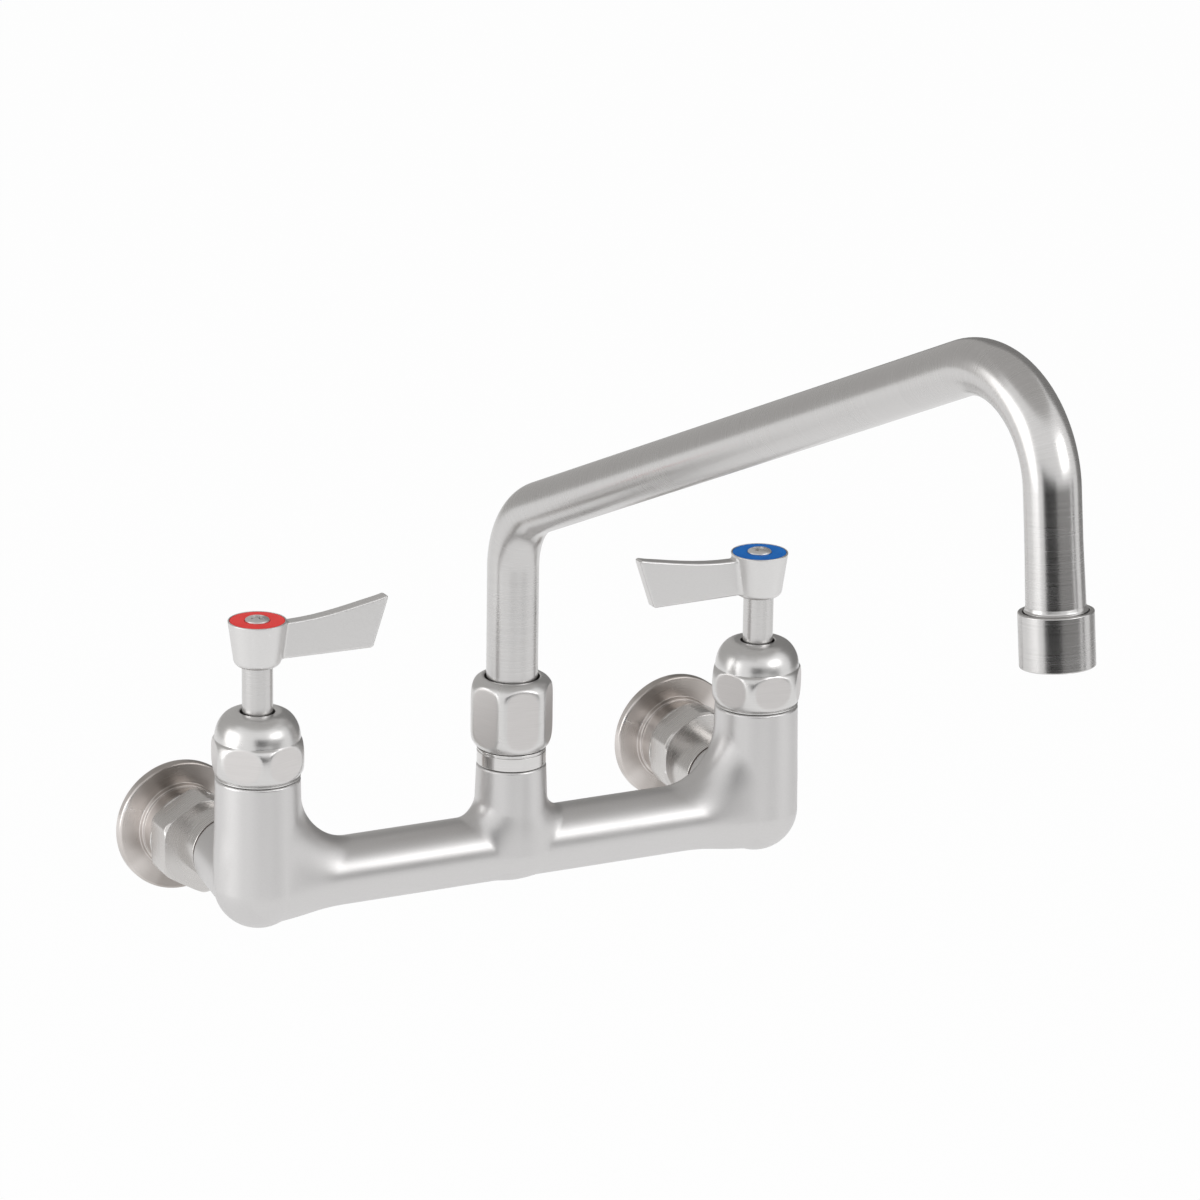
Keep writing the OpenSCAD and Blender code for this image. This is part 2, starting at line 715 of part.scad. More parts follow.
// Pan head screw with a cross recess
module lever_screw(side) {
    head_r = screw_head_d / 2;
    head_base = screw_floor;
    head_side = lever_top - screw_floor - screw_head_h / 2;
    color(bright) at_valve(side) difference() {
        union() {
            translate([0, 0, head_base]) rotate_extrude() polygon(concat(
                [[0, 0], [head_r, 0]],
                arc(0, head_side, head_r, screw_head_h, 0, 90, 8)));
            translate([0, 0, head_base - screw_len + face_gap]) cylinder(d = screw_d, h = screw_len);
        }
        for (turn = [0, 90]) rotate([0, 0, turn])
            translate([-recess_w / 2, -head_r * recess_l_share, head_base + head_side])
                cube([recess_w, 2 * head_r * recess_l_share, screw_head_h + cut]);
    }
}

// Nipple screwed into the centre boss, it carries the spout and its nut
module spout_nipple() {
    color(bright) at_spout() difference() {
        union() {
            translate([0, 0, centre_top - stub_len]) cylinder(d = stub_d, h = stub_len + nipple_collar_h);
            translate([0, 0, nipple_base]) cylinder(d = nipple_d, h = nipple_collar_h);
            translate([0, 0, nipple_top - cut]) cylinder(d = nipple_thread_d, h = nipple_thread_len + cut);
        }
        translate([0, 0, centre_top - stub_len - cut]) cylinder(d = foot_bore_d, h = thread_top);
        translate([0, 0, foot_base - face_gap]) cylinder(d = foot_spigot_d + 2 * running_fit, h = thread_top);
    }
}

// Hex nut with rounded corners that holds the spout down
module spout_nut() {
    nut_r = spout_nut_d / 2;
    round_h = spout_nut_round * nut_round_share;
    low_r = nipple_d / 2 - face_gap;
    color(bright) at_spout() difference() {
        intersection() {
            translate([0, 0, nut_z]) rotate_extrude() polygon(concat(
                [[0, 0], [low_r, 0]],
                arc(low_r, round_h, nut_r - low_r, round_h, -90, 0, 6),
                arc(nut_r - spout_nut_round, spout_nut_h - round_h, spout_nut_round, round_h, 0, 90, 6),
                [[0, spout_nut_h]]));
            translate([0, 0, nut_z - cut]) hex_bar(spout_nut_af, spout_nut_h + 2 * cut, spout_nut_turn);
        }
        translate([0, 0, nut_z - cut])
            cylinder(d = nipple_thread_d + 2 * thread_fit, h = nut_shoulder - nut_z + cut);
        translate([0, 0, nut_z]) cylinder(d = spout_hole_d, h = spout_nut_h + cut);
    }
}

// Glide ring between the spout's foot and the nut
module spout_glide_ring() {
    color(nylon) at_spout() translate([0, 0, glide_z])
        washer(nipple_thread_d, tube_d + 2 * face_gap, glide_t);
}

// Places its children in the spout's swing, local X along the reach
module swing() {
    at_spout() rotate([0, 0, spout_swing - 90]) children();
}

// Foot of the spout: sealed spigot, flange and the plug inside the tube
module spout_foot() {
    plug_d = tube_d - 2 * tube_wall - 2 * running_fit;
    color(bright) swing() difference() {
        union() {
            translate([0, 0, foot_base]) cylinder(d = foot_spigot_d, h = foot_flange_z - foot_base + cut);
            translate([0, 0, foot_flange_z]) cylinder(d = foot_flange_d, h = foot_flange_t);
            translate([0, 0, foot_top - cut]) cylinder(d = plug_d, h = plug_len + cut);
        }
        translate([0, 0, foot_base - cut]) cylinder(d = foot_bore_d, h = foot_top + plug_len);
        translate([0, 0, foot_ring_z - ring_wire_d / 2 - ring_room]) washer(foot_spigot_d + cut,
            foot_spigot_d - 2 * ring_wire_d - 2 * ring_room, ring_wire_d + 2 * ring_room);
    }
}

// Seal ring on the foot's spigot
module spout_o_ring() {
    color(rubber) swing() translate([0, 0, foot_ring_z]) wire_ring(foot_spigot_d, ring_wire_d);
}

// Bend from Z toward X, then its children at the end
module bend(d, bend_r, turn) {
    translate([bend_r, 0, 0]) mirror([1, 0, 0]) rotate([90, 0, 0])
        rotate_extrude(angle = turn) translate([bend_r, 0]) circle(d = d - bend_draw);
    translate([bend_r * (1 - cos(turn)), 0, bend_r * sin(turn)]) rotate([0, turn, 0]) children();
}

// The whole run of the spout as a round bar, over sets how far it runs past both ends
module spout_run(d, over) {
    translate([0, 0, foot_top - over]) cylinder(d = d, h = riser_len + over + bend_lap);
    translate([0, 0, foot_top + riser_len]) bend(d, lower_bend_r, lower_turn) {
        translate([0, 0, -bend_lap]) cylinder(d = d, h = arm_len + 2 * bend_lap);
        translate([0, 0, arm_len]) bend(d, upper_bend_r, upper_turn)
            translate([0, 0, -bend_lap]) cylinder(d = d, h = tube_end + over + bend_lap);
    }
}

// Bent spout tube, hollow from end to end
module spout_tube() {
    color(steel) swing() difference() {
        spout_run(tube_d, 0);
        spout_run(tube_d - 2 * tube_wall, cut);
    }
}

// Stands on the outlet face, local Z up the down pipe
module at_outlet() {
    outlet_x = arm_reach + drop_len * sin(drop_angle);
    outlet_z = riser_h + arm_reach * tan(arm_angle) - drop_len * cos(drop_angle);
    swing() translate([outlet_x, 0, outlet_z]) rotate([0, -drop_angle, 0]) children();
}

// Threaded tip on the end of the tube
module spout_tip() {
    color(bright) at_outlet() difference() {
        translate([0, 0, tip_base]) cylinder(d = tip_d, h = tip_top - tip_base);
        translate([0, 0, tip_base - cut]) cylinder(d = tube_d - 2 * tube_wall, h = tip_top);
        translate([0, 0, tube_seat]) cylinder(d = tube_d + 2 * running_fit, h = tip_top);
    }
}

// Washer above the aerator insert
module aerator_washer() {
    color(rubber) at_outlet() translate([0, 0, washer_z])
        washer(tip_d - 2 * slip_fit, insert_d - 2 * aerator_washer_t, aerator_washer_t);
}

// Aerator insert with three rings of jets
module aerator_insert() {
    color(nylon) at_outlet() difference() {
        union() {
            translate([0, 0, insert_recess]) cylinder(d = insert_d, h = washer_z - insert_recess);
            translate([0, 0, insert_ledge]) cylinder(d = tip_d - 2 * slip_fit, h = insert_flange_t);
        }
        for (row = jet_ring_shares, i = [1:row[0]]) rotate([0, 0, 360 * i / row[0]])
            translate([insert_d / 2 * row[1], 0, 0]) cylinder(d = jet_d, h = washer_z + cut);
    }
}

// Round aerator housing
module aerator_housing() {
    r = aerator_d / 2;
    color(steel) at_outlet() difference() {
        rotate_extrude() polygon(concat(
            [[0, 0], [r - housing_edge, 0]],
            arc(r - housing_edge, housing_edge, housing_edge, housing_edge, -90, 0, 4),
            arc(r - housing_edge, aerator_len - housing_edge, housing_edge, housing_edge, 0, 90, 4),
            [[0, aerator_len]]));
        translate([0, 0, -cut]) cylinder(d = insert_d + 2 * slip_fit, h = insert_ledge + 2 * cut);
        translate([0, 0, insert_ledge]) cylinder(d = tip_d + 2 * thread_fit, h = aerator_len);
    }
}

body();

wall_flange(hot);  // hot_wall_flange
inlet(hot);  // hot_inlet
inlet_washer(hot);  // hot_inlet_washer
inlet_o_ring(hot);  // hot_inlet_o_ring
seat_seal(hot);  // hot_seat_seal
fixed_disc(hot);  // hot_fixed_disc
moving_disc(hot);  // hot_moving_disc
valve_sleeve(hot);  // hot_valve_sleeve
spindle(hot);  // hot_spindle
spindle_o_ring(hot);  // hot_spindle_o_ring
bonnet_nut(hot, hot_nut_turn);  // hot_bonnet_nut
lever(hot);  // hot_lever
index_ring(hot, red);  // hot_index_ring
lever_screw(hot);  // hot_lever_screw

wall_flange(cold);  // cold_wall_flange
inlet(cold);  // cold_inlet
inlet_washer(cold);  // cold_inlet_washer
inlet_o_ring(cold);  // cold_inlet_o_ring
seat_seal(cold);  // cold_seat_seal
fixed_disc(cold);  // cold_fixed_disc
moving_disc(cold);  // cold_moving_disc
valve_sleeve(cold);  // cold_valve_sleeve
spindle(cold);  // cold_spindle
spindle_o_ring(cold);  // cold_spindle_o_ring
bonnet_nut(cold, cold_nut_turn);  // cold_bonnet_nut
lever(cold);  // cold_lever
index_ring(cold, blue);  // cold_index_ring
lever_screw(cold);  // cold_lever_screw

spout_nipple();
spout_nut();
spout_glide_ring();
spout_foot();
spout_o_ring();
spout_tube();
spout_tip();
aerator_washer();
aerator_insert();
aerator_housing();
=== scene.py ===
# %% [markdown]
# # A wall mounted mixer tap
#
# The CAD model gives every piece of this tap its place, its size and the body
# that it moves with. This notebook dresses it: it rebuilds the pieces that
# show with soft edges and flowing blends, gives each one the finish of ground
# and polished stainless steel, and sets up a small photo studio round it.
#
# Everything is in metres. X runs along the wall from hot to cold, Y runs into
# the wall and Z is up. The origin lies on the wall, midway between the pipes.

# %% Load the frame
import math
import bpy
import numpy as np
from mathutils import Matrix, Vector


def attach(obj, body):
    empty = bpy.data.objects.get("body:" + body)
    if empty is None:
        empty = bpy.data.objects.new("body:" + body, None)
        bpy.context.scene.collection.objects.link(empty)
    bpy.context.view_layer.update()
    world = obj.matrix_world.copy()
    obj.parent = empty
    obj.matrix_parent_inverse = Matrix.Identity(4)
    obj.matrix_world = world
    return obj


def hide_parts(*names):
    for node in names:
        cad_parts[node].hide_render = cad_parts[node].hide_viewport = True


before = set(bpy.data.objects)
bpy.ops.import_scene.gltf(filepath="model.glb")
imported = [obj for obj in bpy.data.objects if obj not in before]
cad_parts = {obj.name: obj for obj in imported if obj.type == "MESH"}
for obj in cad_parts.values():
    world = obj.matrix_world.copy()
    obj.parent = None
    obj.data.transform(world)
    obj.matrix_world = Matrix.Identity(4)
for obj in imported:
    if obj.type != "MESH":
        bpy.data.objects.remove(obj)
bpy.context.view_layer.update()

# %% [markdown]
# ## Sizes
#
# The pieces are drawn here in millimetres, because that is how they are made
# and measured, and one factor turns them into metres at the end. The values
# repeat those of the CAD model, so each new piece lands where its solid is.

# %% Sizes in millimetres
MM = 0.001
WALL_GAP = 72.2
VALVE_X = 101.6
ECCENTRIC_X = 1.6
ECCENTRIC_Z = 2.771
HOT, COLD = -1, 1
SIDE_NAME = {HOT: "hot", COLD: "cold"}
SPOUT_SWING = math.radians(7.9)
print("valve spacing", 2 * VALVE_X, "mm, wall to valves", WALL_GAP, "mm")

# %% [markdown]
# ## Camera
#
# The photograph was taken from the front left and a little above, with a
# long lens: all upright edges stay almost parallel. The camera stands more
# than two metres away, so a narrow lens brings the tap close.

# %% Camera
CAMERA_PLACE = (-0.980424, -2.123491, 0.830791)


def add_object(name, data):
    made = bpy.data.objects.new(name, data)
    bpy.context.scene.collection.objects.link(made)
    return made


def place_camera(yaw, pitch, roll, lens, place):
    """A camera turned like the photographer's: yaw to the right, pitch down, roll in degrees."""
    a, p, r = math.radians(yaw), math.radians(pitch), math.radians(roll)
    ahead = Vector((math.sin(a) * math.cos(p), math.cos(a) * math.cos(p), -math.sin(p)))
    right = Vector((math.cos(a), -math.sin(a), 0))
    up = right.cross(ahead)
    side = right * math.cos(r) + up * math.sin(r)
    top = up * math.cos(r) - right * math.sin(r)
    turn = Matrix((side, top, -ahead)).transposed()
    data = bpy.data.cameras.new("photo_camera")
    data.lens = lens
    data.sensor_width = 36
    data.clip_start, data.clip_end = 0.1, 20
    camera = add_object("photo_camera", data)
    camera.matrix_world = Matrix.Translation(place) @ turn.to_4x4()
    bpy.context.scene.camera = camera
    return camera


camera = place_camera(26.35, 17.98, 0.82, 195.948, CAMERA_PLACE)
print("camera at", [round(v, 3) for v in camera.location])

# %% [markdown]
# ## Places
#
# Every piece is drawn round its own Z axis and then put in place by a matrix.
# A valve stands on its inlet's axis, a flange lies on the wall with Z pointing
# out of it, and the pieces of the spout's mouth follow the leaning down pipe.

# %% Places for the pieces
def moved(x, y, z):
    """A place given in millimetres, as a matrix in metres."""
    return Matrix.Translation((x * MM, y * MM, z * MM))


def at_valve(side):
    return moved(side * VALVE_X, -WALL_GAP, 0)


def from_wall(side):
    """On the wall at the pipe's axis, with Z pointing out of the wall."""
    spot = moved(side * (VALVE_X + ECCENTRIC_X), 0, side * ECCENTRIC_Z)
    return spot @ Matrix.Rotation(math.pi / 2, 4, "X")


def spun(degrees):
    return Matrix.Rotation(math.radians(degrees), 4, "Z")


AT_SPOUT = moved(0, -WALL_GAP, 0)
SWING = AT_SPOUT @ Matrix.Rotation(SPOUT_SWING - math.pi / 2, 4, "Z")
RISER, REACH, DROP = 124.7, 309.6, 107.5
ARM_ANGLE, DROP_ANGLE = math.radians(24.5), math.radians(6)
OUTLET_X = REACH + DROP * math.sin(DROP_ANGLE)
OUTLET_Z = RISER + REACH * math.tan(ARM_ANGLE) - DROP * math.cos(DROP_ANGLE)
AT_OUTLET = SWING @ moved(OUTLET_X, 0, OUTLET_Z) @ Matrix.Rotation(-DROP_ANGLE, 4, "Y")
print("outlet at", [round(v, 4) for v in AT_OUTLET.translation])

# %% [markdown]
# ## Profiles with rounded corners
#
# Nothing on a real tap has a razor edge: each edge is broken by a file, a
# polishing wheel or the casting itself, and that thin bright line is what
# makes metal look solid. Each corner is rounded in the profile itself, so its
# normals are known exactly and its highlight stays clean at any distance.

# %% Rounded profiles
CORNER_STEPS, CORNER_ROOM, LEAST_TURN = 5, 0.45, math.radians(1)


def rounded(corners):
    """A closed profile of (radius, height, rounding) corners, run anticlockwise.

    Returns rows of radius, height and the outward normal's two parts."""
    rows, count = [], len(corners)
    spots = [np.array(c[:2], float) for c in corners]
    for i in range(count):
        here, before, after = spots[i], spots[i - 1], spots[(i + 1) % count]
        come, go = here - before, after - here
        come, go = come / np.linalg.norm(come), go / np.linalg.norm(go)
        turn = math.atan2(come[0] * go[1] - come[1] * go[0], float(come @ go))
        if abs(turn) < LEAST_TURN:
            rows.append((*here, go[1], -go[0]))
            continue
        room = CORNER_ROOM * min(np.linalg.norm(here - before), np.linalg.norm(after - here))
        cut_back = min(corners[i][2] * math.tan(abs(turn) / 2), room)
        radius = cut_back / math.tan(abs(turn) / 2)
        start = here - come * cut_back
        bend = math.copysign(1, turn)
        centre = start + np.array([-come[1], come[0]]) * bend * radius
        first = math.atan2(*(start - centre)[::-1])
        for k in range(CORNER_STEPS + 1):
            angle = first + turn * k / CORNER_STEPS
            out = np.array([math.cos(angle), math.sin(angle)])
            rows.append((*(centre + out * radius), *(out * bend)))
    return rows


def smooth_rows(points, count):
    """Many rows along a smooth curve through a few measured (radius, height) points."""
    points = np.array(points, float)
    gaps = np.linalg.norm(np.diff(points, axis=0), axis=1) ** 0.5
    knots = np.concatenate([[0], np.cumsum(gaps)])
    slopes = np.gradient(points, knots, axis=0)
    rows = []
    for t in np.linspace(0, knots[-1], count):
        i = min(int(np.searchsorted(knots, t, side="right")) - 1, len(gaps) - 1)
        h = knots[i + 1] - knots[i]
        u = (t - knots[i]) / h
        rows.append(
            (2 * u**3 - 3 * u**2 + 1) * points[i] + (u**3 - 2 * u**2 + u) * h * slopes[i]
            + (3 * u**2 - 2 * u**3) * points[i + 1] + (u**3 - u**2) * h * slopes[i + 1])
    return rows


square = rounded([(1, 0, .2), (2, 0, .2), (2, 1, .2), (1, 1, .2)])
print("one rounded square has", len(square), "rows")

# %% [markdown]
# ## From profile to mesh
#
# Most pieces of a tap are turned on a lathe. One function turns a profile
# round an axis that may itself be bent: a straight axis gives a flange and a
# bent one the spout. It also stores where each point lies along the profile,
# so the fine lines of the brushed finish run round the piece and its bends.

# %% Turning a profile
TURN_SIDES = 144


def straight(s):
    """The axis of an ordinary turned piece: a point and three directions at height s."""
    return np.array([0, 0, s]), np.array([1, 0, 0]), np.array([0, 1, 0]), np.array([0, 0, 1])


def turned(rows, sides=TURN_SIDES, axis=straight):
    """Turns closed rows of radius, height and normal round an axis.

    Returns points, quads, normals and grain places."""
    angles = np.arange(sides) * 2 * math.pi / sides
    cos, sin = np.cos(angles)[:, None], np.sin(angles)[:, None]
    points, normals, grain = [], [], []
    along, last = 0.0, None
    for r, s, nr, ns in rows:
        centre, across, aside, ahead = axis(s)
        ring = cos * across + sin * aside
        points.append(centre + r * ring)
        normals.append(nr * ring + ns * ahead)
        along += 0 if last is None else math.hypot(r - last[0], s - last[1])
        last = (r, s)
        grain.append(np.hstack([r * cos, r * sin, np.full((sides, 1), along)]))
    return (np.vstack(points), ring_quads(len(rows), sides), np.vstack(normals), np.vstack(grain))


def ring_quads(rows, sides):
    """Quads between rings, the last ring joined to the first."""
    i, j = np.meshgrid(np.arange(rows), np.arange(sides), indexing="ij")
    up, on = (i + 1) % rows, (j + 1) % sides
    quads = np.stack([i * sides + j, i * sides + on, up * sides + on, up * sides + j], axis=-1)
    return quads.reshape(-1, 4)


def merged(*meshes):
    """Several closed meshes as one piece."""
    starts = np.cumsum([0] + [len(m[0]) for m in meshes[:-1]])
    return (np.vstack([m[0] for m in meshes]),
            np.vstack([m[1] + n for m, n in zip(meshes, starts)]),
            np.vstack([m[2] for m in meshes]), np.vstack([m[3] for m in meshes]))


def shifted(mesh, x, y, z):
    return (mesh[0] + np.array([x, y, z]), *mesh[1:])

# %% [markdown]
# ## A piece and where it belongs
#
# Each new piece rides on a body of the CAD model, stands for the node that it
# replaces, and takes its finish as its material. Custom normals are stored with
# the mesh, so curved faces shade like the real form and not like the facets
# that carry it. The turn of a place goes into the points, so an object is only
# ever shifted and its box stays tight.

# %% Making a piece
def make_piece(name, mesh, place, material, body, stands_for=None, extra=None):
    """Builds a piece from points in millimetres and ties it to the frame."""
    points, faces, normals, grain = mesh
    turn = np.array(place.to_3x3())
    points, normals = points @ turn.T, normals @ turn.T
    data = bpy.data.meshes.new(name)
    data.vertices.add(len(points))
    data.vertices.foreach_set("co", (points * MM).astype(np.float32).ravel())
    data.loops.add(faces.size)
    data.loops.foreach_set("vertex_index", faces.astype(np.int32).ravel())
    data.polygons.add(len(faces))
    starts = np.arange(0, faces.size, faces.shape[1], dtype=np.int32)
    data.polygons.foreach_set("loop_start", starts)
    data.update(calc_edges=True)
    data.shade_smooth()
    length = np.linalg.norm(normals, axis=1, keepdims=True)
    data.normals_split_custom_set_from_vertices((normals / np.maximum(length, 1e-9)).tolist())
    for key, values in {"grain": grain, **(extra or {})}.items():
        vector = values.ndim == 2
        layer = data.attributes.new(key, "FLOAT_VECTOR" if vector else "FLOAT", "POINT")
        layer.data.foreach_set("vector" if vector else "value",
                               values.astype(np.float32).ravel())
    data.materials.append(material)
    piece = add_object(name, data)
    piece.matrix_world = Matrix.Translation(place.translation)
    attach(piece, body)
    if stands_for:
        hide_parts(stands_for)
    print(f"{name}: {len(faces)} faces, {material.name}")


def side_piece(side, name, mesh, place, material, stands_for, moves=False, extra=None):
    """A piece that the hot and the cold side both have, on the tap or on its side's handle."""
    own = SIDE_NAME[side]
    make_piece(f"{own}_{name}", mesh, place, material, f"{own}_handle" if moves else "tap",
               f"{own}_{stands_for}", extra)

# %% [markdown]
# ## Shared finishes
#
# Stainless steel gets its look from what was last done to it. Turning and
# brushing leave fine lines, polishing leaves faint clouds, and handling rubs
# the edges smoother; their brighter colour is a painted highlight. These effects
# are node groups, built once and placed in every material with its own values.
# A group only puts out masks and normals; the shader itself stays in the material.

# %% Node group helpers
def node(tree, kind, links=None, **settings):
    """Adds a node, sets its properties and links or fills its inputs by name or number."""
    made = tree.nodes.new("ShaderNode" + kind)
    for key, value in settings.items():
        setattr(made, key, value)
    for key, value in (links or {}).items():
        if isinstance(value, bpy.types.NodeSocket):
            tree.links.new(value, made.inputs[key])
        else:
            made.inputs[key].default_value = value
    return made


def maths(tree, operation, *values, kind="Math", **settings):
    """The result of one sum on numbers, vectors or sockets."""
    return node(tree, kind, dict(enumerate(values)), operation=operation, **settings).outputs[0]


def noise(tree, place, scale, detail, roughness=0.5):
    return node(tree, "TexNoise", {"Vector": place, "Scale": scale, "Detail": detail,
                                   "Roughness": roughness}).outputs[0]


def smooth_ramp(tree, value, start, full):
    return node(tree, "MapRange", {"Value": value, "From Min": start, "From Max": full},
                interpolation_type="SMOOTHSTEP").outputs[0]


def effect(name, inputs, outputs, build):
    """A node group. build gets its tree and inputs, and gives a socket for each output."""
    tree = bpy.data.node_groups.new(name, "ShaderNodeTree")
    for socket, kind, value in inputs:
        made = tree.interface.new_socket(socket, in_out="INPUT", socket_type="NodeSocket" + kind)
        if value is not None:
            made.default_value = value
    for socket, kind in outputs:
        tree.interface.new_socket(socket, in_out="OUTPUT", socket_type="NodeSocket" + kind)
    given, result = tree.nodes.new("NodeGroupInput"), tree.nodes.new("NodeGroupOutput")
    for socket, end in zip(build(tree, given.outputs), result.inputs):
        tree.links.new(socket, end)
    print("group", name, "with", len(tree.nodes), "nodes")
    return tree

# %% [markdown]
# ### Fine lines
#
# Brushing and turning leave lines that are long one way and very close
# together the other way. Noise stretched by two scales gives them: slow round
# the piece, fast along its profile. A second, broader noise makes some bands
# of lines deeper than others, as an abrasive belt does.

# %% Fine lines group
BAND_SCALE = (0.6, 0.6, 0.30)


def fine_lines(tree, given):
    x, y, along = node(tree, "SeparateXYZ", {0: given["Place"]}).outputs
    place = node(tree, "CombineXYZ", {
        0: maths(tree, "MULTIPLY", x, given["Length"]),
        1: maths(tree, "MULTIPLY", y, given["Length"]),
        2: maths(tree, "MULTIPLY", along, given["Lines per mm"])}).outputs[0]
    lines = noise(tree, place, 1.0, 3.0, 0.65)
    wide = maths(tree, "MULTIPLY", place, BAND_SCALE, kind="VectorMath")
    bands = noise(tree, wide, 1.0, 2.0)
    depth = maths(tree, "MULTIPLY", given["Depth"], MM)
    bump = node(tree, "Bump", {"Strength": 1.0, "Distance": depth,
                               "Height": maths(tree, "MULTIPLY", lines, bands)})
    return lines, bands, bump.outputs[0]


FINE_LINES = effect(
    "fine_lines", [("Place", "Vector", None), ("Lines per mm", "Float", 3.0),
                   ("Length", "Float", 0.05), ("Depth", "Float", 0.02)],
    [("Streak", "Float"), ("Band", "Float"), ("Normal", "Vector")], fine_lines)

# %% [markdown]
# ### Soft clouds
#
# No polished surface is even. Skin oil, water marks and the hand of the
# polisher leave broad faint clouds, which change how sharp a reflection is
# more than they change the colour. A noise in object space gives the mask.

# %% Soft clouds group
def soft_clouds(tree, given):
    spot = node(tree, "TexCoord").outputs["Object"]
    scale = maths(tree, "DIVIDE", 1 / MM, given["Size mm"])
    centred = maths(tree, "SUBTRACT", noise(tree, spot, scale, 4.0), 0.5)
    scaled = maths(tree, "MULTIPLY", centred, given["Contrast"])
    return [maths(tree, "ADD", scaled, 0.5, use_clamp=True)]


SOFT_CLOUDS = effect("soft_clouds", [("Size mm", "Float", 18.0), ("Contrast", "Float", 1.4)],
                     [("Mask", "Float")], soft_clouds)

# %% [markdown]
# ### Rubbed edges and painted edge highlight
#
# Hands, cloths and spanners rub the corners of metal smoother than its faces,
# and where a finish also lifts their colour, that brighter line is a painted
# highlight. Geometry's pointiness is high exactly there, so a narrow ramp over
# it makes the mask.

# %% Rubbed edges and painted edge highlight group
def rubbed_and_sheen_edges(tree, given):
    point = node(tree, "NewGeometry").outputs["Pointiness"]
    return [smooth_ramp(tree, point, given["Start"], given["Full"])]


RUBBED_AND_SHEEN_EDGES = effect("rubbed_and_sheen_edges", [("Start", "Float", 0.52), ("Full", "Float", 0.62)],
                      [("Mask", "Float")], rubbed_and_sheen_edges)

# %% [markdown]
# ### Painted fan highlight of a faced disc
#
# A faced disc shows light and dark wedges that meet at its centre, because
# the tool's grooves bend light one way and their depth changes a little round
# the disc. Here they are painted into the colour: the direction from the axis
# gives them, a painted highlight to both sides and painted shade above and
# below, and noise that reads only the direction makes them uneven.

# %% Painted fan highlight group
# The side share and the ramp set how wide the painted highlight wedges are.
SIDE_SHARE, FAN_START, FAN_FULL = 0.55, 0.62, 1.05


def painted_fan_highlight(tree, given):
    flat = maths(tree, "MULTIPLY", given["Place"], (1, 1, 0), kind="VectorMath")
    way = maths(tree, "NORMALIZE", flat, kind="VectorMath")
    highlight_wedges = noise(tree, way, given["Wedges"], 1.5)
    across = maths(tree, "ABSOLUTE", node(tree, "SeparateXYZ", {0: way}).outputs[0])
    both = maths(tree, "MULTIPLY_ADD", across, SIDE_SHARE, highlight_wedges)
    return [smooth_ramp(tree, both, FAN_START, FAN_FULL)]


PAINTED_FAN_HIGHLIGHT = effect("painted_fan_highlight", [("Place", "Vector", None), ("Wedges", "Float", 1.5)],
                     [("Mask", "Float")], painted_fan_highlight)

# %% [markdown]
# ## Steel
#
# One recipe makes every steel finish: metallic, a warm pale grey, roughness
# that the clouds and lines vary, fine lines as a bump, and edges that are
# smoother than the faces and carry a painted highlight colour. A brushed surface
# also spreads light across its lines, which the shader's anisotropy does. Where
# the lines run round an axis, the tangent comes from that axis. A faced disc can
# also get a painted fan highlight in its colour.

# %% Material helpers
def mix_colour(tree, mask, low, high):
    """Two colours, each numbers or a socket, mixed by a mask."""
    low, high = ((*c, 1) if isinstance(c, tuple) else c for c in (low, high))
    return node(tree, "Mix", {0: mask, 6: low, 7: high}, data_type="RGBA").outputs[2]


def ranged(tree, mask, low, high):
    return node(tree, "MapRange", {"Value": mask, "To Min": low, "To Max": high}).outputs[0]


def new_material(name):
    material = bpy.data.materials.new(name)
    material.use_nodes = True
    return material, material.node_tree, material.node_tree.nodes["Principled BSDF"]


def fill_shader(tree, shader, colour, rough, normal, metal=1.0):
    for key, socket in (("Base Color", colour), ("Roughness", rough), ("Normal", normal)):
        tree.links.new(socket, shader.inputs[key])
    shader.inputs["Metallic"].default_value = metal


def grain_place(tree, own_grain):
    """Where a point lies on its piece, in millimetres: its stored grain place or object space."""
    if own_grain:
        return node(tree, "Attribute", attribute_name="grain").outputs["Vector"]
    spot = node(tree, "TexCoord").outputs["Object"]
    return node(tree, "VectorMath", {0: spot, "Scale": 1 / MM}, operation="SCALE").outputs[0]


def fine_marks(tree, own_grain, lines, length, depth):
    place = grain_place(tree, own_grain)
    return node(tree, "Group", {"Place": place, "Lines per mm": lines, "Length": length,
                                "Depth": depth}, node_tree=FINE_LINES).outputs


def clouds(tree, size, contrast=1.4):
    return node(tree, "Group", {"Size mm": size, "Contrast": contrast},
                node_tree=SOFT_CLOUDS).outputs[0]


print("groups that a material can use:", [g.name for g in bpy.data.node_groups])

# %% Steel recipe
# The first colour here is a painted highlight along the edges; the polish only makes them smoother.
EDGE_HIGHLIGHT, RIM_POLISH, STREAK_ROUGH = (0.80, 0.79, 0.785), 0.1, 0.08


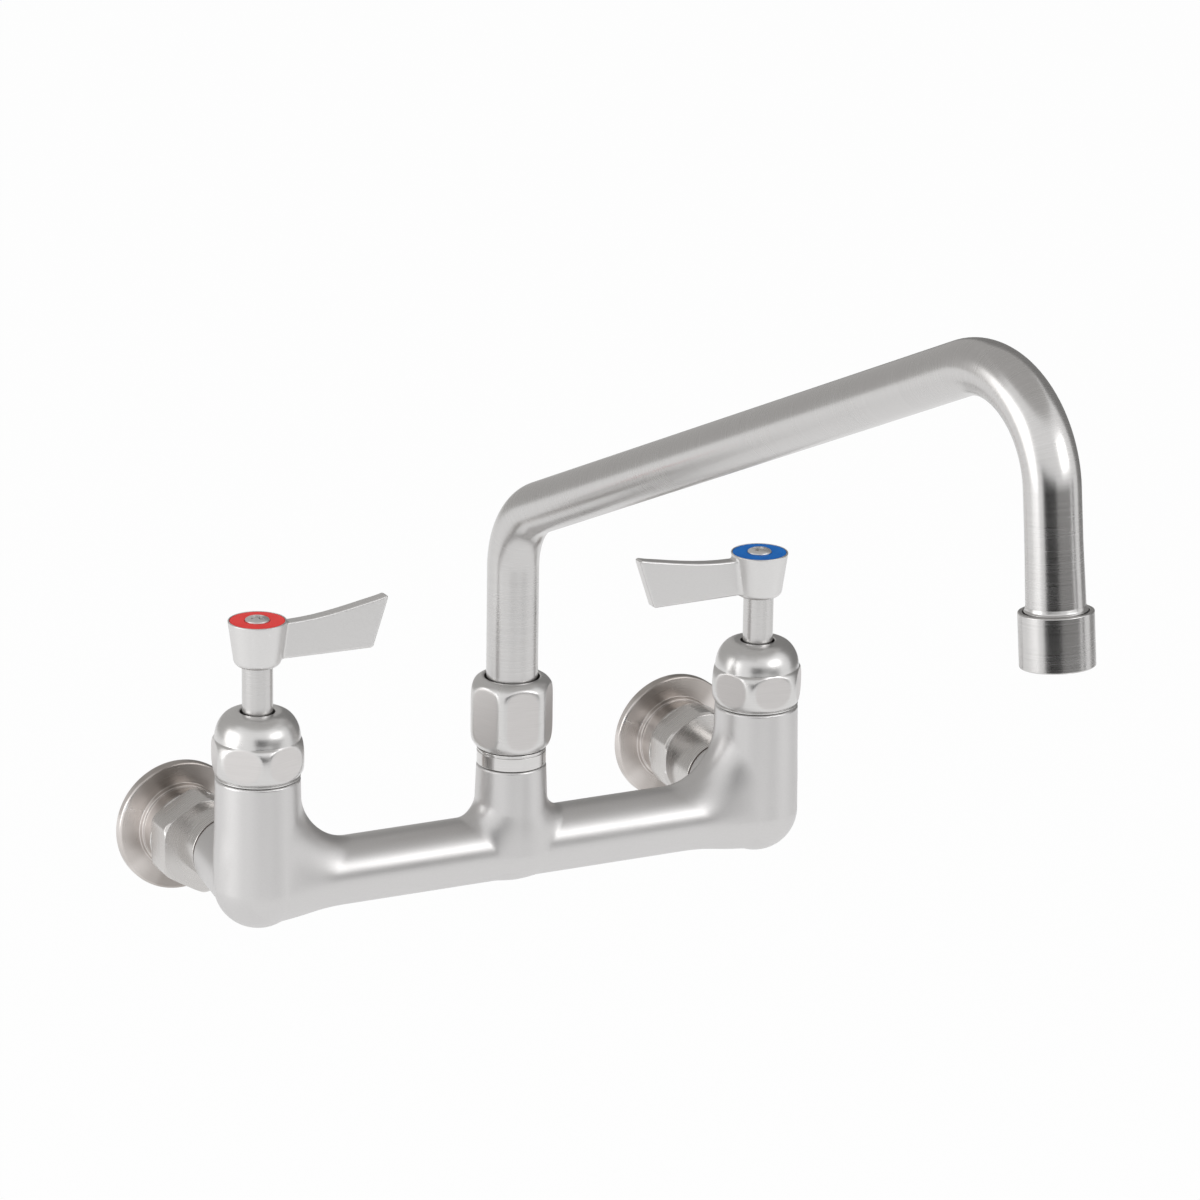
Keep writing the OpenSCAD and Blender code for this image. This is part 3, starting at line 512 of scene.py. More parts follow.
def steel(name, dark, light, rough, lines, length, depth, spread=0.0, cloud=18.0,
          own_grain=True, fan_highlight_colour=None):
    """A steel finish. rough is (smoothest, roughest), spread its anisotropy, fan the colour of its
    painted highlight wedges.
    """
    material, tree, shader = new_material(name)
    marks = fine_marks(tree, own_grain, lines, length, depth)
    edges = node(tree, "Group", node_tree=RUBBED_AND_SHEEN_EDGES).outputs[0]
    colour = mix_colour(tree, marks["Streak"], dark, light)
    # The fan paints a highlight colour into light wedges beside the axis.
    if fan_highlight_colour:
        highlight_wedges = node(tree, "Group", {"Place": grain_place(tree, own_grain)},
                      node_tree=PAINTED_FAN_HIGHLIGHT)
        colour = mix_colour(tree, highlight_wedges.outputs[0], colour, fan_highlight_colour)
    clouded = maths(tree, "MULTIPLY", clouds(tree, cloud), marks["Band"])
    lined = maths(tree, "MULTIPLY_ADD", marks["Streak"], STREAK_ROUGH,
                  ranged(tree, clouded, *rough))
    smooth = maths(tree, "MULTIPLY_ADD", edges, -RIM_POLISH, lined)
    # The edges get the painted highlight colour and a smoother surface.
    fill_shader(tree, shader, mix_colour(tree, edges, colour, EDGE_HIGHLIGHT), smooth, marks["Normal"])
    if spread:
        shader.inputs["Anisotropic"].default_value = spread
        shader.inputs["Anisotropic Rotation"].default_value = 0.25
        tangent = node(tree, "Tangent", direction_type="RADIAL", axis="Y")
        tree.links.new(tangent.outputs[0], shader.inputs["Tangent"])
    return material


CAST = steel("cast_satin_steel", (0.61, 0.60, 0.595), (0.70, 0.69, 0.687), (0.30, 0.44),
             5.0, 1.2, 0.0012, cloud=30, own_grain=False)
SATIN = steel("satin_steel", (0.68, 0.67, 0.662), (0.78, 0.772, 0.767), (0.31, 0.45),
              5.0, 0.8, 0.0012, cloud=12, own_grain=False)
BRUSHED = steel("brushed_steel", (0.53, 0.52, 0.513), (0.70, 0.69, 0.685), (0.18, 0.33),
                4.5, 0.03, 0.006, cloud=40)
# The turned finish's dark colours are the painted shade of the fan's dark wedges, and its fan
# colour is their painted highlight.
TURNED_WITH_PAINTED_FAN = steel("turned_steel", (0.37, 0.335, 0.31), (0.53, 0.495, 0.47), (0.22, 0.36),
               5.0, 0.04, 0.012, spread=0.8, cloud=16, fan_highlight_colour=(0.74, 0.70, 0.675))
POLISHED = steel("polished_steel", (0.60, 0.59, 0.58), (0.74, 0.73, 0.725), (0.10, 0.24),
                 4.0, 0.08, 0.004, cloud=14)
print("steel finishes:", [m.name for m in (CAST, SATIN, BRUSHED, TURNED_WITH_PAINTED_FAN, POLISHED)])

# %% [markdown]
# ## Plastics, rubber, brass and ceramic
#
# The index rings are glossy moulded plastic, and the parts inside are brass,
# ceramic, fibre and rubber. None of them is one flat colour: moulded plastic
# has a faint skin texture, fibre has flecks, and brass has its turning lines.

# %% Other finishes
SKIN_LINES, SKIN_LENGTH, SKIN_CONTRAST = 3.0, 3.0, 2.0


def plain_stuff(name, dark, light, rough, size, bump, metal=0.0, gloss=0.5):
    """A finish with clouds of two near colours and a fine skin."""
    material, tree, shader = new_material(name)
    skin = fine_marks(tree, False, SKIN_LINES, SKIN_LENGTH, bump)
    fill_shader(tree, shader, mix_colour(tree, clouds(tree, size, SKIN_CONTRAST), dark, light),
                ranged(tree, skin["Streak"], *rough), skin["Normal"], metal)
    shader.inputs["Specular IOR Level"].default_value = gloss
    return material


RED = plain_stuff("index_red", (0.72, 0.028, 0.026), (0.82, 0.046, 0.040), (0.34, 0.46),
                  6, 0.003, gloss=0.12)
BLUE = plain_stuff("index_blue", (0.003, 0.105, 0.40), (0.006, 0.150, 0.52), (0.34, 0.46),
                   6, 0.003, gloss=0.05)
WHITE = plain_stuff("white_plastic", (0.70, 0.70, 0.67), (0.82, 0.82, 0.79), (0.36, 0.50),
                    5, 0.01)
CERAMIC = plain_stuff("ceramic", (0.80, 0.77, 0.70), (0.88, 0.86, 0.80), (0.12, 0.22),
                      4, 0.002)
BRASS = plain_stuff("brass", (0.62, 0.42, 0.17), (0.76, 0.56, 0.27), (0.22, 0.36),
                    6, 0.01, metal=1.0)
FIBRE = plain_stuff("fibre", (0.030, 0.020, 0.016), (0.070, 0.048, 0.038), (0.62, 0.80),
                    1.2, 0.03)
RUBBER = plain_stuff("rubber", (0.008, 0.008, 0.008), (0.022, 0.022, 0.023), (0.50, 0.68),
                     2, 0.02)
print("other finishes:", [m.name for m in (RED, BLUE, WHITE, CERAMIC, BRASS, FIBRE, RUBBER)])

# %% [markdown]
# ## Flowing castings from fields
#
# The body is a casting: bar, bosses and sockets melt into each other with wide
# fillets. So the shape is written as a field, a number that is negative inside
# the metal and grows with the distance outside. Two fields join with a true
# fillet by one formula. A surface net then lays quads on the zero level, each
# point slides exactly on to it, and the field's slope is its normal.

# %% Joining fields
def joined(a, b, fillet):
    """Two forms as one, with a fillet of that radius in the corner between them."""
    return np.maximum(fillet, np.minimum(a, b)) - np.hypot(
        np.maximum(fillet - a, 0), np.maximum(fillet - b, 0))


def cut_to(a, b, edge):
    """What two forms share, with the edge between them rounded."""
    return np.minimum(-edge, np.maximum(a, b)) + np.hypot(
        np.maximum(a + edge, 0), np.maximum(b + edge, 0))


def eased(value, start, full):
    """0 before start and 1 after full, with a soft turn at both."""
    t = np.clip((value - start) / (full - start), 0, 1)
    return t * t * (3 - 2 * t)


def slope(field, points, step):
    found = np.empty_like(points)
    for k in range(3):
        ahead, behind = points.copy(), points.copy()
        ahead[:, k] += step
        behind[:, k] -= step
        found[:, k] = (field(*ahead.T) - field(*behind.T)) / (2 * step)
    return found


print("1 mm off both walls of a corner, a 4 mm fillet reads", joined(1.0, 1.0, 4.0).round(2))

# %% Surface net
SLIDES, LEAST_STEEP = 4, 0.05
CUBE = np.array([(x, y, z) for x in (0, 1) for y in (0, 1) for z in (0, 1)])
CUBE_EDGES = [(a, b) for a in range(8) for b in range(a + 1, 8)
              if np.abs(CUBE[a] - CUBE[b]).sum() == 1]


def field_mesh(field, low, high, cell):
    """Closed quads on the zero level of a field, in a box from low to high."""
    axes = [np.arange(a, b + cell, cell) for a, b in zip(low, high)]
    value = field(*np.meshgrid(*axes, indexing="ij"))
    inside = value < 0
    nx, ny, nz = value.shape
    count = sum(inside[a:nx - 1 + a, b:ny - 1 + b, c:nz - 1 + c].astype(np.int8)
                for a, b, c in CUBE)
    active = (count > 0) & (count < 8)
    cells = np.argwhere(active)
    number = np.full(active.shape, -1, np.int32)
    number[active] = np.arange(len(cells))
    corners = np.stack([value[tuple((cells + c).T)] for c in CUBE], axis=1)
    spots, met = np.zeros((len(cells), 3)), np.zeros((len(cells), 1))
    for a, b in CUBE_EDGES:
        crossed = (corners[:, a] < 0) != (corners[:, b] < 0)
        share = corners[:, a] / np.where(crossed, corners[:, a] - corners[:, b], 1)
        here = CUBE[a] + share[:, None] * (CUBE[b] - CUBE[a])
        spots += np.where(crossed[:, None], here, 0)
        met += crossed[:, None]
    points = np.array(low) + cell * (cells + spots / met)
    for _ in range(SLIDES):
        rise = slope(field, points, cell / 8)
        steep = np.maximum((rise**2).sum(1), LEAST_STEEP)
        step = np.clip(field(*points.T) / steep, -cell / 2, cell / 2)
        points -= step[:, None] * rise
    faces = []
    for axis, (u, v) in enumerate(((1, 2), (2, 0), (0, 1))):
        near = np.moveaxis(inside, axis, 0)
        change = np.argwhere(np.moveaxis(near[:-1] != near[1:], 0, axis))
        change = change[((change[:, (u, v)] > 0)
                         & (change[:, (u, v)] < np.array(value.shape)[[u, v]] - 1)).all(1)]
        step_u, step_v = np.eye(3, dtype=int)[u], np.eye(3, dtype=int)[v]
        quad = np.stack([number[tuple((change - back).T)]
                         for back in (step_u + step_v, step_v, 0, step_u)], axis=1)
        outward = inside[tuple(change.T)]
        faces.append(np.where(outward[:, None], quad, quad[:, ::-1]))
    return points, np.vstack(faces), slope(field, points, cell / 6), points.copy()


print("a test ball has", len(field_mesh(
    lambda x, y, z: np.sqrt(x * x + y * y + z * z) - 3, (-4, -4, -4), (4, 4, 4), 0.5)[0]), "points")

# %% [markdown]
# ## Body
#
# One casting: two bosses with round bottoms carry the valves, a bar joins
# them, a third boss in its middle carries the spout, and a tapered socket
# behind each end takes an inlet. The fillet formula makes a true arc where two
# forms cross squarely, as on top of the bar, but swells where they lie almost
# side by side. So at the end bosses the fillet is wide where both surfaces
# stand square to each other and small where they run side by side, which keeps
# one radius all round. The bar also widens a little before it gets there. The
# bores and passages are cut as in the CAD model, so the piece stays a real
# casting inside too.

# %% Body field
BOSS_R, BOSS_TOP_R, BOSS_TOP, BOSS_BASE = 16.3, 15.6, 38.8, 2.5
BAR_R, BAR_DROP, BAR_BORE_R, BAR_EDGE = 12.6, 2.4, 8.0, 4.0
BAR_FLARE, FLARE_START, FLARE_FULL = 1.4, 32.0, 8.0
CENTRE_R, CENTRE_ROOT_R, CENTRE_TOP, CENTRE_ROOT, CENTRE_SQUASH = 12.9, 13.6, 29.9, 12.0, 1.12
SOCKET_R, SOCKET_REACH, SOCKET_START_R, SOCKET_FREE, SOCKET_FULL = 13.7, 28.6, 15.5, 8.0, 18.0
NECK_R, NECK_TOP, NECK_ROOT = 12.8, 49.0, 36.8
END_FILLET, SOCKET_FILLET, CAST_EDGE = 21.0, 4.0, 0.8
CENTRE_FILLET, FRONT_FILLET, LEAST_FILLET, FILLET_RISE = 7.5, 3.0, 0.3, 15.0
CARTRIDGE_R, CARTRIDGE_BASE, CHAMBER_R, CHAMBER_HALF = 9.5, 8.0, 7.8, 8.2
GALLERY_R, GALLERY_Z, GALLERY_HALF = 11.5, 23.0, 6.0
NIPPLE_BORE_R, NIPPLE_SEAT, SPIGOT_R, SPIGOT_SEAT, WATERWAY_R = 10.1, 16.9, 11.0, 17.3, 6.5
PASSAGE_LOW, PASSAGE_HIGH, PASSAGE_R = (-18.7, -BAR_DROP), (-9.94, GALLERY_Z), 3.0


def body_outside(x, y, z):
    end, high, deep = np.abs(x) - VALVE_X, z + BAR_DROP, np.minimum(z + BOSS_BASE, 0)
    around, middle = np.hypot(end, y), np.hypot(x, y)
    share = np.clip((z + BOSS_BASE) / (BOSS_TOP + BOSS_BASE), 0, 1)
    boss = np.hypot(around, deep) - BOSS_R + (BOSS_R - BOSS_TOP_R) * share
    boss = cut_to(boss, z - BOSS_TOP, CAST_EDGE)
    bar = np.hypot(y, high) - BAR_R - BAR_FLARE * eased(end, -FLARE_START, -FLARE_FULL)
    alike = (y * y + deep * high) / np.maximum(np.hypot(around, deep) * np.hypot(y, high), 1)
    whole = joined(boss, cut_to(bar, end, BAR_EDGE),
                   LEAST_FILLET + END_FILLET * (1 - np.clip(alike, 0, 1)))
    reach = np.clip(y / SOCKET_REACH, 0, 1)
    socket = np.hypot(end, z + BOSS_BASE * (1 - reach)) - SOCKET_START_R
    socket = socket + (SOCKET_START_R - SOCKET_R) * reach
    socket = np.maximum(cut_to(socket, y - SOCKET_REACH, CAST_EDGE), -y)
    whole = joined(whole, socket, LEAST_FILLET + (SOCKET_FILLET - LEAST_FILLET)
                   * eased(y, SOCKET_FREE, SOCKET_FULL))
    share = np.clip((CENTRE_TOP - z) / (CENTRE_TOP - CENTRE_ROOT), 0, 1)
    centre = np.hypot(middle, CENTRE_SQUASH * np.minimum(high, 0)) - CENTRE_R
    centre = centre - (CENTRE_ROOT_R - CENTRE_R) * share
    whole = joined(whole, cut_to(centre, z - CENTRE_TOP, CAST_EDGE),
                   FRONT_FILLET + (CENTRE_FILLET - FRONT_FILLET) * eased(high, 0, FILLET_RISE))
    neck = np.maximum(np.maximum(around - NECK_R, z - NECK_TOP), NECK_ROOT - z)
    return np.minimum(whole, neck)


def body_hollows(x, y, z):
    end, high = np.abs(x) - VALVE_X, z + BAR_DROP
    around, middle, off_inlet = np.hypot(end, y), np.hypot(x, y), np.hypot(end, z)
    (low_x, low_z), (top_x, top_z) = PASSAGE_LOW, PASSAGE_HIGH
    run_x, run_z = top_x - low_x, top_z - low_z
    share = np.clip(((end - low_x) * run_x + (z - low_z) * run_z) / (run_x**2 + run_z**2), 0, 1)
    passage = np.sqrt((end - low_x - share * run_x)**2 + y**2 + (z - low_z - share * run_z)**2)
    return np.minimum.reduce([
        np.maximum(around - CARTRIDGE_R, CARTRIDGE_BASE - z),
        np.maximum(around - CHAMBER_R, np.abs(z) - CHAMBER_HALF),
        np.maximum(around - GALLERY_R, np.abs(z - GALLERY_Z) - GALLERY_HALF),
        np.maximum(np.hypot(y, high) - BAR_BORE_R, end + BOSS_R),
        np.maximum(middle - BAR_BORE_R, -high),
        np.maximum(middle - NIPPLE_BORE_R, NIPPLE_SEAT - z),
        np.maximum(off_inlet - SPIGOT_R, SPIGOT_SEAT - y),
        np.maximum(off_inlet - WATERWAY_R, -y), passage - PASSAGE_R])


def body_field(x, y, z):
    return np.maximum(body_outside(x, y, z), -body_hollows(x, y, z))

# %% Body piece
BODY_CELL = 0.8
body_mesh = field_mesh(body_field, (-119.3, -20.3, -20.3), (119.4, 30.2, 50.4), BODY_CELL)
make_piece("cast_body", body_mesh, AT_SPOUT, CAST, "tap", "body")

# %% [markdown]
# ## Wall flanges
#
# A flange hides the hole in the wall. It is a turned disc with a hub that
# slides over the inlet, and its face shows the lathe's rings as a fan of light
# and dark, partly the shader's anisotropy and partly painted highlight and
# shade in its colour. It is one closed profile turned round the wall pipe's axis.

# %% Wall flanges
FLANGE_R, FLANGE_T, FLANGE_BORE_R = 24.8, 3.6, 12.9
HUB_R, HUB_TOP, BEAD_R, BEAD_TOP = 15.5, 12.4, 16.3, 5.2
flange = turned(rounded([
    (FLANGE_BORE_R, 0, .2), (FLANGE_R, 0, .3), (FLANGE_R, FLANGE_T, 1.0),
    (BEAD_R + 0.3, FLANGE_T - 0.25, .4), (BEAD_R, BEAD_TOP, .5), (HUB_R, BEAD_TOP + .1, .2),
    (HUB_R, HUB_TOP, .7), (FLANGE_BORE_R, HUB_TOP, .3)]))
for side in (HOT, COLD):
    side_piece(side, "flange", flange, from_wall(side), TURNED_WITH_PAINTED_FAN, "wall_flange")

# %% [markdown]
# ## Hex forms
#
# A nut is a turned blank with six flats milled on it. Where a flat meets the
# round of the blank, the edge is a curve, and on a barrel shaped blank the
# flat is an oval. Here the radius at each angle is the smaller of the blank's
# and the flat's, with a small rounding between the two. The flats stay matt
# from milling, so the mesh also carries a mask that is 1 on a flat.

# %% Hex form
FLAT_FADE = 0.35


def hex_form(rows, across_flats, sides=360, edge=0.5):
    """A turned blank with six milled flats, one facing angle 0, and the mask of its flats."""
    rows = np.array([r[:2] for r in rows])
    angles = np.arange(sides) * 2 * math.pi / sides
    step = math.pi / 3
    wedge = (angles + step / 2) % step - step / 2
    flat = across_flats / 2 / np.cos(wedge)
    blank = rows[:, :1]
    over = blank - flat
    radius = np.minimum(blank, flat) - np.maximum(edge - np.abs(over), 0)**2 / (4 * edge)
    points = np.stack([radius * np.cos(angles), radius * np.sin(angles),
                       np.broadcast_to(rows[:, 1:], radius.shape)], axis=-1)
    round_way = np.roll(points, -1, 1) - np.roll(points, 1, 1)
    profile_way = np.roll(points, -1, 0) - np.roll(points, 1, 0)
    normals = np.cross(round_way, profile_way)
    gaps = np.linalg.norm(rows - np.roll(rows, 1, 0), axis=1)
    along = np.broadcast_to(np.cumsum(gaps)[:, None], radius.shape)
    grain = np.stack([points[..., 0], points[..., 1], along], axis=-1).reshape(-1, 3)
    mesh = (points.reshape(-1, 3), ring_quads(len(rows), sides), normals.reshape(-1, 3), grain)
    return mesh, np.clip(over / FLAT_FADE, 0, 1).ravel()


def dense(rows, longest):
    """The same profile with extra rows, so that no gap is longer than that."""
    full = []
    for here, after in zip(rows, rows[1:] + rows[:1]):
        gap = math.hypot(after[0] - here[0], after[1] - here[1])
        for k in range(max(1, math.ceil(gap / longest))):
            share = k * longest / gap if gap else 0
            full.append(tuple(np.array(here[:2]) * (1 - share) + np.array(after[:2]) * share))
    return full

# %% [markdown]
# ### Polished steel with milled flats
#
# The nuts' own finish: the polished recipe, with the flat mask adding
# roughness and a slightly greyer tone where the mill left it matt.

# %% Nut finish
NUT_RIM_POLISH, FLAT_MATT = 0.05, 0.08


def build_nut_steel():
    material, tree, shader = new_material("nut_steel")
    marks = fine_marks(tree, True, 4.0, 0.08, 0.004)
    edges = node(tree, "Group", node_tree=RUBBED_AND_SHEEN_EDGES).outputs[0]
    flat = node(tree, "Attribute", attribute_name="flat").outputs["Fac"]
    shine = mix_colour(tree, marks["Streak"], (0.62, 0.61, 0.60), (0.74, 0.735, 0.73))
    matt = mix_colour(tree, marks["Streak"], (0.62, 0.60, 0.59), (0.74, 0.72, 0.71))
    smooth = ranged(tree, clouds(tree, 12.0), 0.25, 0.36)
    rubbed = maths(tree, "MULTIPLY_ADD", edges, -NUT_RIM_POLISH, smooth)
    rough = maths(tree, "MULTIPLY_ADD", flat, FLAT_MATT, rubbed)
    fill_shader(tree, shader, mix_colour(tree, flat, shine, matt), rough, marks["Normal"])
    return material


NUT_STEEL = build_nut_steel()
print("finish:", NUT_STEEL.name)

# %% [markdown]
# ## Bonnet nuts
#
# A bonnet nut holds the valve in its boss. It is a barrel shaped hex under a
# polished dome, with a hole for the stem. Its outline was measured at fifteen
# heights, and smooth curves run through them.

# %% Bonnet nuts
NUT_BASE, NUT_AF, LONGEST_GAP = 39.0, 31.9, 0.8
NUT_TURN = {HOT: 46.4, COLD: 85.2}
LIP = [(13.0, .1), (13.2, 0), (15.0, .02), (15.45, .12), (15.62, .36), (15.5, .6), (15.1, .74),
       (14.85, .82)]
BARREL = [(15.2, 39.95), (15.7, 40.4), (16.75, 42.2), (17.4, 44.4), (17.65, 47.6), (17.45, 50.4),
          (16.9, 52.4), (16.35, 53.4)]
DOME = [(15.75, 54.0), (15.5, 55.9), (14.9, 58.2), (13.8, 60.4), (12.2, 62.3), (10.4, 63.4),
        (8.6, 63.8)]
RIM_AND_BORE = [(6.75, 63.8), (6.5, 63.7), (6.4, 63.45), (6.4, 58.0), (8.5, 57.0), (8.5, 52.2),
                (13.0, 52.1)]
bonnet = [(r, NUT_BASE + up) for r, up in LIP] + smooth_rows(BARREL, 34) + smooth_rows(DOME, 30)
nut, mask = hex_form(dense(bonnet + RIM_AND_BORE, LONGEST_GAP), NUT_AF)
for side in (HOT, COLD):
    side_piece(side, "domed_nut", nut, at_valve(side) @ spun(NUT_TURN[side]), NUT_STEEL,
               "bonnet_nut", extra={"flat": mask})

# %% [markdown]
# ## Inlets
#
# Each inlet screws on to the pipe in the wall. From the wall it has a threaded
# barrel with a real internal thread form, a bevelled collar, a hex for the
# spanner, and a round neck that is set a little to one side of the hex. That
# offset is how such inlets make up for pipes that aren't exactly in place.

# %% Inlets
COLLAR_R, HEX_BACK, HEX_LEN, INLET_AF, NECK_PIPE_R = 17.1, 15.1, 12.8, 33.3, 13.2
HEX_CORNER_R = {HOT: 18.5, COLD: 17.8}
BARREL_R, SPIGOT_PIPE_R, NECK_END, SPIGOT_END = 12.7, 10.9, 42.4, 54.5
THREAD_R, THREAD_DEPTH, THREAD_PITCH, THREAD_LEN, WATER_R = 9.6, 0.75, 1.814, 14.6, 6.5


def thread_rows(start, end):
    """The inside of a threaded bore as ridges, from high to low."""
    rows, z = [], end
    while z > start + THREAD_PITCH:
        rows += [(THREAD_R, z, .1), (THREAD_R + THREAD_DEPTH, z - THREAD_PITCH / 2, .1)]
        z -= THREAD_PITCH
    return rows + [(THREAD_R, z, .1)]


def build_inlet(side):
    hex_end, corner = HEX_BACK + HEX_LEN, HEX_CORNER_R[side]
    barrel = rounded([
        (THREAD_R + .6, 0.4, .2), (BARREL_R, 0.4, .4), (BARREL_R, HEX_BACK - 2.2, .2),
        (16.3, HEX_BACK - 2.2, .4), (COLLAR_R, HEX_BACK - 1.1, .4), (COLLAR_R, HEX_BACK, .3),
        (WATER_R, HEX_BACK, .2), (WATER_R, 15, .05)] + thread_rows(1.0, THREAD_LEN))
    blank = dense(rounded([
        (WATER_R, HEX_BACK - .2, .1), (corner, HEX_BACK - .2, .4), (corner, hex_end - 1.0, .5),
        (corner - 1.0, hex_end, .5), (WATER_R, hex_end, .2)]), 1.2)
    hexed, mask = hex_form(blank, INLET_AF, sides=240)
    neck = turned(rounded([
        (WATER_R, hex_end - 1, .1), (NECK_PIPE_R, hex_end - 1, .1), (NECK_PIPE_R, NECK_END, .7),
        (SPIGOT_PIPE_R, NECK_END, .1), (SPIGOT_PIPE_R, SPIGOT_END, .6), (WATER_R, SPIGOT_END, .3)]))
    neck = shifted(neck, -side * ECCENTRIC_X, -side * ECCENTRIC_Z, 0)
    whole = merged(turned(barrel), hexed, neck)
    flats = np.zeros(len(whole[0]))
    start = len(barrel) * TURN_SIDES
    flats[start:start + len(mask)] = mask
    side_piece(side, "hex_inlet", whole, from_wall(side), INLET_STEEL, "inlet",
               extra={"flat": flats})


INLET_STEEL = steel("inlet_steel", (0.57, 0.55, 0.535), (0.68, 0.665, 0.65), (0.20, 0.34),
                    5.0, 0.06, 0.004, cloud=14)
for side in (HOT, COLD):
    build_inlet(side)

# %% [markdown]
# ## Stems
#
# The stem turns with the lever. Only its polished middle shows between nut and
# lever, but the whole turned part is drawn, from the driver over the thrust
# ring to the end inside the lever.

# %% Stems
STEM_R, LEVER_TOP, HUB_H = 5.65, 98.2, 17.0
LEVER_BASE = LEVER_TOP - HUB_H


def at_lever(side, degrees=0):
    return at_valve(side) @ moved(0, 0, LEVER_TOP) @ spun(degrees)


stem = turned(rounded([
    (1.0, 17.3, .1), (3.5, 17.3, .2), (3.5, 27.05, .2), (7.7, 27.05, .3), (7.7, 29.65, .3),
    (STEM_R, 29.65, .2), (STEM_R, LEVER_BASE - .02, .2), (4.2, LEVER_BASE - .02, .1),
    (4.2, 93.0, .3), (1.0, 93.0, .1)]), sides=96)
for side in (HOT, COLD):
    side_piece(side, "stem", stem, at_valve(side), BRUSHED, "spindle", moves=True)

# %% [markdown]
# ## Levers
#
# A lever is a tapered hub with a flat blade that flares towards its tip. Its
# top edge is hollow and its edges are ground to a narrow bevel. Hub and blade
# are fields again: the blade's outline is a polygon through measured points,
# thickened, and joined to the hub with a small weld fillet. The hub's top is
# turned out for the index ring and bored for the screw.

# %% Lever field
BLADE = np.array([(0, -15.2), (9.2, -15.3), (26, -15.55), (44.0, -15.75), (44.9, -15.2),
                  (50.6, 2.0), (50.7, 3.0), (49.9, 3.45), (46.8, 2.75), (41.7, 1.84), (36.7, 0.9),
                  (31.7, 0.05), (26.7, -0.68), (21.8, -1.22), (16.8, -1.55), (8.0, -1.75),
                  (0, -1.75)], float)
BLADE_HALF, BLADE_EDGE, WELD, HUB_TOP_EDGE, HUB_ROOT_EDGE = 2.4, 0.8, 1.4, 0.35, 2.3
HUB_TOP_R, HUB_ROOT_R, RING_R, RING_T, RING_PLAY = 10.75, 8.4, 10.05, 1.2, 0.05
SEAT_R, SEAT_DEPTH, STEM_BORE_R, STEM_BORE_TOP, SCREW_BORE_R = 4.5, 3.4, 4.4, 5.2, 2.2


def outline_distance(x, z, outline):
    """Distance from a closed outline, negative inside it."""
    best, crossings = np.full(x.shape, 1e9), np.zeros(x.shape, int)
    for (ax, az), (bx, bz) in zip(outline, np.roll(outline, -1, 0)):
        wx, wz = bx - ax, bz - az
        share = np.clip(((x - ax) * wx + (z - az) * wz) / (wx * wx + wz * wz), 0, 1)
        best = np.minimum(best, (x - ax - share * wx)**2 + (z - az - share * wz)**2)
        if wz:
            crossings += ((az > z) != (bz > z)) & (x < ax + (z - az) * wx / wz)
    return np.sqrt(best) * np.where(crossings % 2, -1, 1)


def lever_field(x, y, z):
    around = np.hypot(x, y)
    hub_r = HUB_ROOT_R + (HUB_TOP_R - HUB_ROOT_R) * (z + HUB_H) / HUB_H
    hub = cut_to(cut_to(around - hub_r, z, HUB_TOP_EDGE), -HUB_H - z, HUB_ROOT_EDGE)
    blade = cut_to(outline_distance(x, z, BLADE), np.abs(y) - BLADE_HALF, BLADE_EDGE)
    hollow = np.minimum.reduce([
        np.maximum(around - RING_R - RING_PLAY, -RING_T - z),
        np.maximum(around - SEAT_R, -SEAT_DEPTH - z),
        np.maximum(around - STEM_BORE_R, z + STEM_BORE_TOP), around - SCREW_BORE_R])
    return np.maximum(joined(hub, blade, WELD), -hollow)


LEVER_CELL = 0.3
lever = field_mesh(lever_field, (-11.6, -11.6, -17.8), (51.5, 11.6, 4.3), LEVER_CELL)
for side, degrees in ((HOT, 0), (COLD, 180)):
    side_piece(side, "blade_lever", lever, at_lever(side, degrees), SATIN, "lever",
               moves=True)

# %% [markdown]
# ## Index rings and screws
#
# A red ring marks hot and a blue one cold. They are plain glossy plastic,
# slightly crowned. The pan head screw in their middle has a real cross recess
# with sloping walls, cut in a field, because its crisp cross catches the light.

# %% Index rings
ring = turned(rounded([(4.6, -1.18, .1), (10.0, -1.18, .1), (10.0, -0.02, .25), (7.2, 0.06, 3),
                       (4.6, 0.0, .25)]))
for side, tint, slot in ((HOT, RED, "index_red"), (COLD, BLUE, "index_blue")):
    side_piece(side, "colour_ring", ring, at_lever(side), tint, "index_ring", moves=True)

# %% Screws
HEAD_R, HEAD_TOP, HEAD_SIDE, HEAD_BASE, SHANK_R, SHANK_LEN = 4.5, 1.5, 0.05, -3.35, 2.0, 8.7
CROSS_DEPTH, CROSS_HALF, CROSS_REACH, CROSS_NARROWS, CROSS_SHORTENS = 2.2, 0.75, 3.1, 0.3, 1.7


def screw_field(x, y, z):
    around = np.hypot(x, y)
    crown = np.hypot(around, (z - HEAD_SIDE) * HEAD_R / (HEAD_TOP - HEAD_SIDE)) - HEAD_R
    head = np.maximum(np.where(z > HEAD_SIDE, crown * 0.5, around - HEAD_R), HEAD_BASE - z)
    shank = np.maximum(around - SHANK_R,
                       np.maximum(HEAD_BASE - SHANK_LEN - z, z - HEAD_BASE - 1))
    depth = np.clip((HEAD_TOP - z) / CROSS_DEPTH, 0, 1)
    half, reach = CROSS_HALF - CROSS_NARROWS * depth, CROSS_REACH - CROSS_SHORTENS * depth
    arm_x = np.maximum(np.abs(x) - reach, np.abs(y) - half)
    arm_y = np.maximum(np.abs(y) - reach, np.abs(x) - half)
    recess = np.maximum(np.minimum(arm_x, arm_y), HEAD_TOP - CROSS_DEPTH - z)
    return np.maximum(np.minimum(head, shank), -recess)


SCREW_CELL = 0.14
screw = field_mesh(screw_field, (-4.8, -4.8, -12.6), (4.8, 4.8, 2.0), SCREW_CELL)
for side, degrees in ((HOT, 12), (COLD, 37)):
    side_piece(side, "cross_screw", screw, at_lever(side, degrees), SATIN,
               "lever_screw", moves=True)

